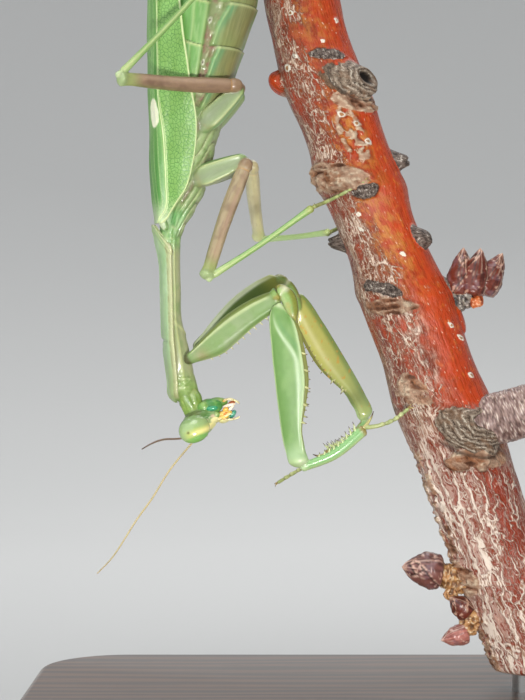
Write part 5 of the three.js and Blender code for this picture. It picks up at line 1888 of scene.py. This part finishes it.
def bud(path, wide, twist, tones=("3a120c", "6e3022", "d3ab94")):
    """A winter bud of overlapping pointed scales."""
    deep, main, rim = (colour(t) for t in tones)
    length = Walk(path).length

    # How many scales cover each point, their edges, and a band of painted shadow just beyond each edge.
    def cover(s):
        count, edge, gap = (np.zeros(s.t.shape) for _ in range(3))
        for i in range(BUD_SCALES):
            top = 0.24 + 0.76 * i / (BUD_SCALES - 1)
            off = np.abs(turned(s.angle, twist + GOLDEN_TURN * i)) / (150 - 6 * i)
            inside = top - 0.42 * off**1.6 - s.t
            edge = np.maximum(np.where(inside > 0, 0, edge), hill(inside, 0.02, 0.03))
            gap = np.maximum(np.where(inside > 0, 0, gap), hill(inside, -0.03, 0.035))
            count = count + ramp(inside, 0.0, 0.03)
        return count, edge, gap

    def lift(s):
        count = cover(s)[0]
        return 0.05 * count * wide + 0.05 * noise(s.p, 0.4, 165)

    def paint(s):
        _, edge, gap = cover(s)
        streak = grain(s.angle / 9, s.mm / 3, 167)
        worn = 0.9 * edge * ramp(streak, -0.7, 0.1) + 0.6 * ramp(s.t, 0.86, 0.98)
        worn = worn + 0.5 * ramp(streak, 0.45, 0.7)
        return coats(main,
            (deep, ramp(streak, -0.2, 0.6)),
            ("8d6f78", 0.4 * ramp(noise(s.p, 0.9, 168), 0.1, 0.7)),
            # Painted shadow under each scale's edge.
            (0.3 * deep, gap),
            (rim, worn),
            (rim, 0.7 * ramp(noise(s.p, 0.5, 169), 0.55, 0.8)),
        ), 0.36

    outline = ((0, 0.6), (0.2, 0.9), (0.45, 0.96), (0.7, 0.74), (0.87, 0.38), (1, 0.07))
    rows = tube(*((t, wide * radius) for t, radius in outline))
    return limb(path, rows, vec(0.2, 1, 0.3), sides=56, step=0.1, dome=min(0.4, length / 8), lift=lift,
                paint=paint, name="bud", material=SHELL)


def peg(path, radii, tones=("7a5230", "bd8a56", "dcc6a4"), grain=0.9):
    """A short side shoot of crumpled bark."""
    deep, main, rim = (colour(t) for t in tones)

    def relief(s):
        return (
            1 - np.abs(noise(s.p * vec(1.4, 1, 1), grain, 171))
            - 0.3 * np.abs(noise(s.p, 0.45 * grain, 172))
        )

    def lift(s):
        return 0.5 * grain * (relief(s) - 0.7)

    def paint(s):
        r = relief(s)
        return coats(deep,
            (main, ramp(r, 0.4, 0.75)),
            (rim, ramp(r, 0.78, 0.9)),
            # Painted shade in the deepest creases.
            (0.4 * deep, 0.7 * ramp(r, 0.3, 0.05)),
        ), 0.55

    rows = tube(*((i / (len(radii) - 1), radius) for i, radius in enumerate(radii)))
    return limb(
        path, rows, vec(0.2, 1, 0.3), sides=48, step=0.1, dome=0.4, lift=lift, paint=paint, name="peg",
        material=SHELL,
    )


def buds():
    """The buds and their side shoots, as on the branch in life."""
    places = ((40.8, 60), (20.4, -84), (15.2, -80), (57.6, 88))
    side, low, lowest, high = (bark_point(*place) for place in places)
    parts = (
        (peg, side, [(-3.0, 0.5, -0.6), (1.2, 0, 0.3), (5.4, -0.6, 1.6)], [3.1, 3.3, 3.2],
         ("6a4f48", "9a8078", "dccbbf"), 0.5),
        (peg, low, [(1.2, 0, -0.3), (-1.2, -0.2, 0.2), (-2.6, -0.4, 0.9)], [1.9, 1.7, 1.35]),
        (peg, low, [(-0.4, -0.3, -1.4), (-1.7, -0.5, -2.5)], [1.0, 0.6]),
        (bud, low, [(-2.0, -0.4, 0.8), (-7.2, -0.8, 1.5)], 2.0, 20, ("43201f", "7f5048", "e0b8a6")),
        (peg, lowest, [(1.2, 0, 1.2), (-0.5, -0.4, 0.0), (-0.9, -0.6, -2.0)], [1.5, 1.4, 1.0]),
        (bud, lowest, [(-0.6, -0.5, 0.8), (-3.3, -0.9, 2.9)], 1.25, 80),
        (bud, lowest, [(-0.8, -0.6, -1.6), (-4.4, -0.9, -2.6)], 1.15, 150, ("7c4038", "b9776c", "f0d2c2")),
        (peg, high, [(-1.4, 0, -1.6), (0.9, 0, -1.7), (3.0, -0.2, -0.6)], [1.8, 1.7, 1.5],
         ("2e2622", "847a70", "e6e0d6")),
        (peg, high, [(2.6, -0.6, -1.9), (4.4, -0.7, -1.6)], [1.1, 0.9], ("9a4320", "cf6c34", "f0bd94")),
        (bud, high, [(1.3, -0.5, -1.2), (1.9, -0.6, 5.0)], 1.5, 10),
        (bud, high, [(2.9, -0.9, -1.2), (4.0, -0.9, 4.9)], 1.6, 100),
        (bud, high, [(4.2, -0.3, -1.0), (6.9, -0.4, 4.3)], 1.5, 210),
        (bud, high, [(2.4, 0.9, -1.0), (3.6, 1.6, 4.0)], 1.4, 300),
    )
    made = [make([foot + vec(*p) for p in points], *looks) for make, foot, points, *looks in parts]
    return finished(gathered("buds", made), "bark")


# ---- Stand ----


def wood_material():
    """Dark walnut with a long grain and fine pores."""
    m = Shade("varnished_wood")
    place = m.place()
    long = place.scaled(0.12, 1.0, 1.0)
    bent = m.bent(long, long, (0.02, 0.02, 0.02), Scale=30.0, Detail=2.0)
    waves = {"Vector": bent, "Scale": 90.0, "Distortion": 6.0, "Detail": 3.0, "Detail Scale": 1.5}
    bands = m.add("TexWave", waves, "Fac", bands_direction="Y")
    pores = m.noise(place.scaled(0.04, 1, 1), 2600, 3, 0.6)
    tint = m.coats("3a2314", ("6b452a", bands), ("24150c", pores.ramp(0.56, 0.7)))
    normal = m.bump(pores, 0.00004, 0.5)
    return m.done(Base_Color=tint, Roughness=0.34, Normal=normal, Coat_Weight=0.5, Coat_Roughness=0.15)


def steel_material():
    """Steel, brushed round the rod."""
    m = Shade("brushed_steel")
    place = m.place()
    brush = m.noise(place.scaled(1, 1, 40), 700, 4, 0.6)
    rough = brush.line(0.22, 0.2)
    return m.done(
        Base_Color=(0.55, 0.55, 0.54, 1), Metallic=1.0, Roughness=rough, Normal=m.bump(brush, 1e-05),
    )


CORNER, SOFT_EDGE, LOW_EDGE = 12.0, 1.1, 0.35


def stand_box(node):
    """The middle and half size of a CAD node's box, in millimetres."""
    low, high = (np.array(c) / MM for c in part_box(node))
    return (low + high) / 2, (high - low) / 2, low[2], high[2]


def stand_base():
    """A rounded slab with a soft edge, in the place of its CAD solid."""
    middle, half, low, high = stand_box("stand_base")
    turn = circle(240)
    quarter = np.floor(turn / (math.pi / 2))
    cx = np.where((quarter == 0) | (quarter == 3), 1, -1) * (half[0] - CORNER)
    cy = np.where(quarter < 2, 1, -1) * (half[1] - CORNER)
    profile = [(low, LOW_EDGE), (low + LOW_EDGE, 0.0)]
    for a in np.linspace(0, math.pi / 2, 9):
        profile.append((high - SOFT_EDGE + SOFT_EDGE * math.sin(a), SOFT_EDGE * (1 - math.cos(a))))
    rings = [xyz(middle[0] + cx + (CORNER - inset) * np.cos(turn),
                 middle[1] + cy + (CORNER - inset) * np.sin(turn), z) for z, inset in profile]
    verts, faces = closed(np.stack(rings))
    return finished(body("plinth", verts, faces, {}, wood_material()), "stand_wood", "stand_base")


def stand_rod():
    """A plain rod, in the place of its CAD solid."""
    middle, half, low, high = stand_box("stand_rod")
    turn = circle(72)
    z = np.linspace(low, high, 60)[:, None]
    verts, faces = closed(xyz(middle[0] + half[0] * np.cos(turn), middle[1] + half[0] * np.sin(turn), z))
    return finished(body("rod", verts, faces, {}, steel_material()), "stand_metal", "stand_rod")


# ---- Stage, lights and camera ----


FLOOR_REACH, SWEEP = 0.28, 0.7
CAMERA_PLACE = (-0.00736, -0.25, 0.0495)
SENSOR_MM, LENS_MM = 36, 100.45
MODEL_MIDDLE = (0, 0, 0.06)
UNLIT_BY_KEY = ("floor", "plinth", "rod")


def stage():
    """A pale floor that sweeps up to a wall all round."""
    m = Shade("pale_backdrop")
    tone = m.noise(m.place(), 3.0, 2)
    floor = m.done(Base_Color=m.mix("c3c4c3", "cacac9", tone), Roughness=0.9)
    profile = [(0.02, 0), (0.15, 0), (FLOOR_REACH, 0)]
    for a in np.linspace(0.03, math.pi / 2, 24):
        profile.append((FLOOR_REACH + SWEEP * math.sin(a), SWEEP - SWEEP * math.cos(a)))
    turn = circle(96)
    rings = np.array([[[r * math.cos(a), r * math.sin(a), z] for a in turn] for r, z in profile])
    count = len(turn)
    verts = [(0, 0, 0), *rings.reshape(-1, 3).tolist()]
    faces = [(0, 1 + i, 1 + (i + 1) % count) for i in range(count)]
    for row in range(len(profile) - 1):
        for i in range(count):
            a, b = 1 + row * count + i, 1 + row * count + (i + 1) % count
            faces.append((a, a + count, b + count, b))
    mesh = bpy.data.meshes.new("floor")
    mesh.from_pydata(verts, [], faces)
    mesh.polygons.foreach_set("use_smooth", np.ones(len(mesh.polygons), bool))
    mesh.materials.append(floor)
    added("floor", mesh)


def lamp(name, place, aim, size, watts, tone=(1, 1, 1), spread_angle=180):
    """A round area lamp aimed at a point."""
    light = bpy.data.lights.new(name, "AREA")
    light.spread = math.radians(spread_angle)
    light.shape, light.size, light.energy, light.color = "DISK", size, watts, tone
    thing = added(name, light)
    way = unit(vec(*aim) - vec(*place))
    thing.location = place
    thing.rotation_euler = (math.acos(-way[2]), 0, math.atan2(way[1], way[0]) - math.pi / 2)
    return thing


def camera():
    """A level camera at the height, side and framing of the photo's."""
    thing = added("camera", bpy.data.cameras.new("camera"))
    thing.data.sensor_width, thing.data.lens = SENSOR_MM, LENS_MM
    thing.data.clip_start = 0.01
    thing.location = CAMERA_PLACE
    thing.rotation_euler = (math.pi / 2, 0, 0)
    bpy.context.scene.camera = thing


def lit_alone(light):
    """Keeps a lamp's light off the floor and the stand."""
    model = bpy.data.collections.new("model")
    for thing in bpy.context.scene.objects:
        if thing.type == "MESH" and thing.name not in UNLIT_BY_KEY:
            model.objects.link(thing)
    light.light_linking.receiver_collection = model


def lighting():
    """A lamp by the lens, as the photo's flash, and soft studio lamps for the rest."""
    world = bpy.data.worlds.new("studio")
    world.use_nodes = True
    world.node_tree.nodes["Background"].inputs["Color"].default_value = (0.92, 0.95, 1.0, 1)
    world.node_tree.nodes["Background"].inputs["Strength"].default_value = 0.26
    bpy.context.scene.world = world
    bpy.context.scene.view_settings.view_transform = "Standard"
    key = lamp("key", (0.010, -0.19, 0.010), (-0.003, 0, 0.062), 0.026, 0.108, (1, 0.98, 0.94), 110)
    lit_alone(key)
    lamp("fill", (-0.26, -0.3, 0.2), MODEL_MIDDLE, 0.6, 0.95, (0.97, 0.99, 1))
    lamp("rim", (0.1, 0.3, 0.4), MODEL_MIDDLE, 0.35, 0.6)
    lamp("top", (-0.05, -0.2, 0.45), MODEL_MIDDLE, 0.25, 0.5)
    lamp("wall_wash", (0, 0.12, 0.5), (0, 0.9, 0.16), 0.5, 2.4)


# ---- The whole ----

SHELL = cuticle("shell", coat=0.2)
SKIN = cuticle("skin", coat=0.25)
EYE_SKIN = cuticle("eye_skin", relief=0.000004, mottle=0.06, coat=0.9)

BODY_NODES = ["head", "labrum", "labium", "mandible_left", "mandible_right", "palp_maxillary_left",
              "palp_maxillary_right", "palp_labial_left", "palp_labial_right", "neck", "prothorax",
              "pronotum", "thorax", "abdomen", "cercus_left", "cercus_right"]


CERCUS_RING = 0.42


def cercus(side):
    """One of the two ringed tails."""
    def lift(s):
        return 0.06 * np.cos(s.mm * 2 * math.pi / CERCUS_RING)

    def paint(s):
        return mix("8aa05c", "c3b987", ramp(np.cos(s.mm * 2 * math.pi / CERCUS_RING), 0, 1)), 0.45

    path = [
        (-16.6, 1.2 * side, 110.4), (-17.2, 1.9 * side, 111.2), (-17.8, 2.6 * side, 112.4),
        (-18.2, 2.9 * side, 113.5),
    ]
    rows = tube((0, 0.4), (0.6, 0.33), (1, 0.16))
    return limb(path, rows, vec(1, 0, 0), sides=18, step=0.07, dome=0.15, lift=lift, paint=paint)


def fore_leg(name, leg, side):
    """The parts of a fore leg that grow into the skin, and its spines."""
    hard = []
    coxa, path, flexor = fore_coxa(name, leg, side)
    hard += spine_row(path, FORE_COXA, flexor, 12, (0.2, 0.93), 0.55, 20, 0.35, 0.3, 0.2,
                      "f1f3cf", "d8c79a")
    femur, path, flexor = fore_femur(name, leg, side)
    for around, count, alternate in ((26, 5, 1.0), (-26, 12, 0.55)):
        hard += spine_row(path, FORE_FEMUR, flexor, count, (0.3, 0.72), 0.55, around, 0.45, 0.25, 0.2,
                          "cfcf92", "6a5232", alternate)
    tibia, path, flexor = fore_tibia(leg, side)
    for around in (25, -25):
        hard += spine_row(path, FORE_TIBIA, flexor, 9, (0.28, 0.88), lambda i: 0.35 + 0.08 * i, around,
                          0.5, 0.2, 0.16, "cbd69c", DARK_TIP)
    way, back = unit(leg.ankle - leg.knee), unit(leg.trochanter - leg.knee)
    hook = leg.ankle + way * 1.5 + back * 1.3
    hard.append(thorn(leg.ankle - way * 0.2, hook, 0.28, "b9b377", DARK_TIP, way * 0.35, 14))
    return [coxa, fore_trochanter(leg, side), femur, tibia, tarsus(leg, side, back)], hard


def walking_leg(name, leg, side):
    """The parts of a mid or hind leg that grow into the skin, and the spurs at its ankle."""
    way = unit(leg.ankle - leg.knee)
    across = unit(np.cross(way, vec(0, 1, 0)))
    root, reach = leg.ankle - way * 0.2, leg.ankle + way * 0.5
    spurs = [thorn(root, reach + across * 0.35 * turn, 0.08, "b3a565", DARK_TIP) for turn in (-1, 1)]
    soft = [walking_coxa(leg, side), walking_femur(name, leg, side), walking_tibia(name, leg, side)]
    return [*soft, tarsus(leg, side)], spurs


def animal():
    """The whole mantis: one skin, and the hard pieces that stay separate."""
    flesh = [trunk(), prothorax(), pronotum(), neck(), capsule(), *mouth(), *wing_bases()]
    flesh += [cercus(LEFT), cercus(RIGHT)]
    hard, nodes = [], list(BODY_NODES)
    for name, leg in LEGS.items():
        nodes += [f"{part}_{name}" for part in ("coxa", "femur", "tibia", "tarsus")]
        make = fore_leg if name.startswith("fore") else walking_leg
        soft, spines = make(name, leg, SIDES[name.split("_")[1]])
        flesh += soft
        hard += claws(leg) + spines
    finished(united("mantis_skin", flesh), "body", *nodes)
    finished(gathered("spines_and_claws", hard), "foreleg")
    for name, side in SIDES.items():
        finished(eye(f"bulb_{name}", side), "eye", f"eye_{name}")
        antenna(name)
        wing(name)


animal()
branch()
buds()
stand_base()
stand_rod()
stage()
lighting()
camera()
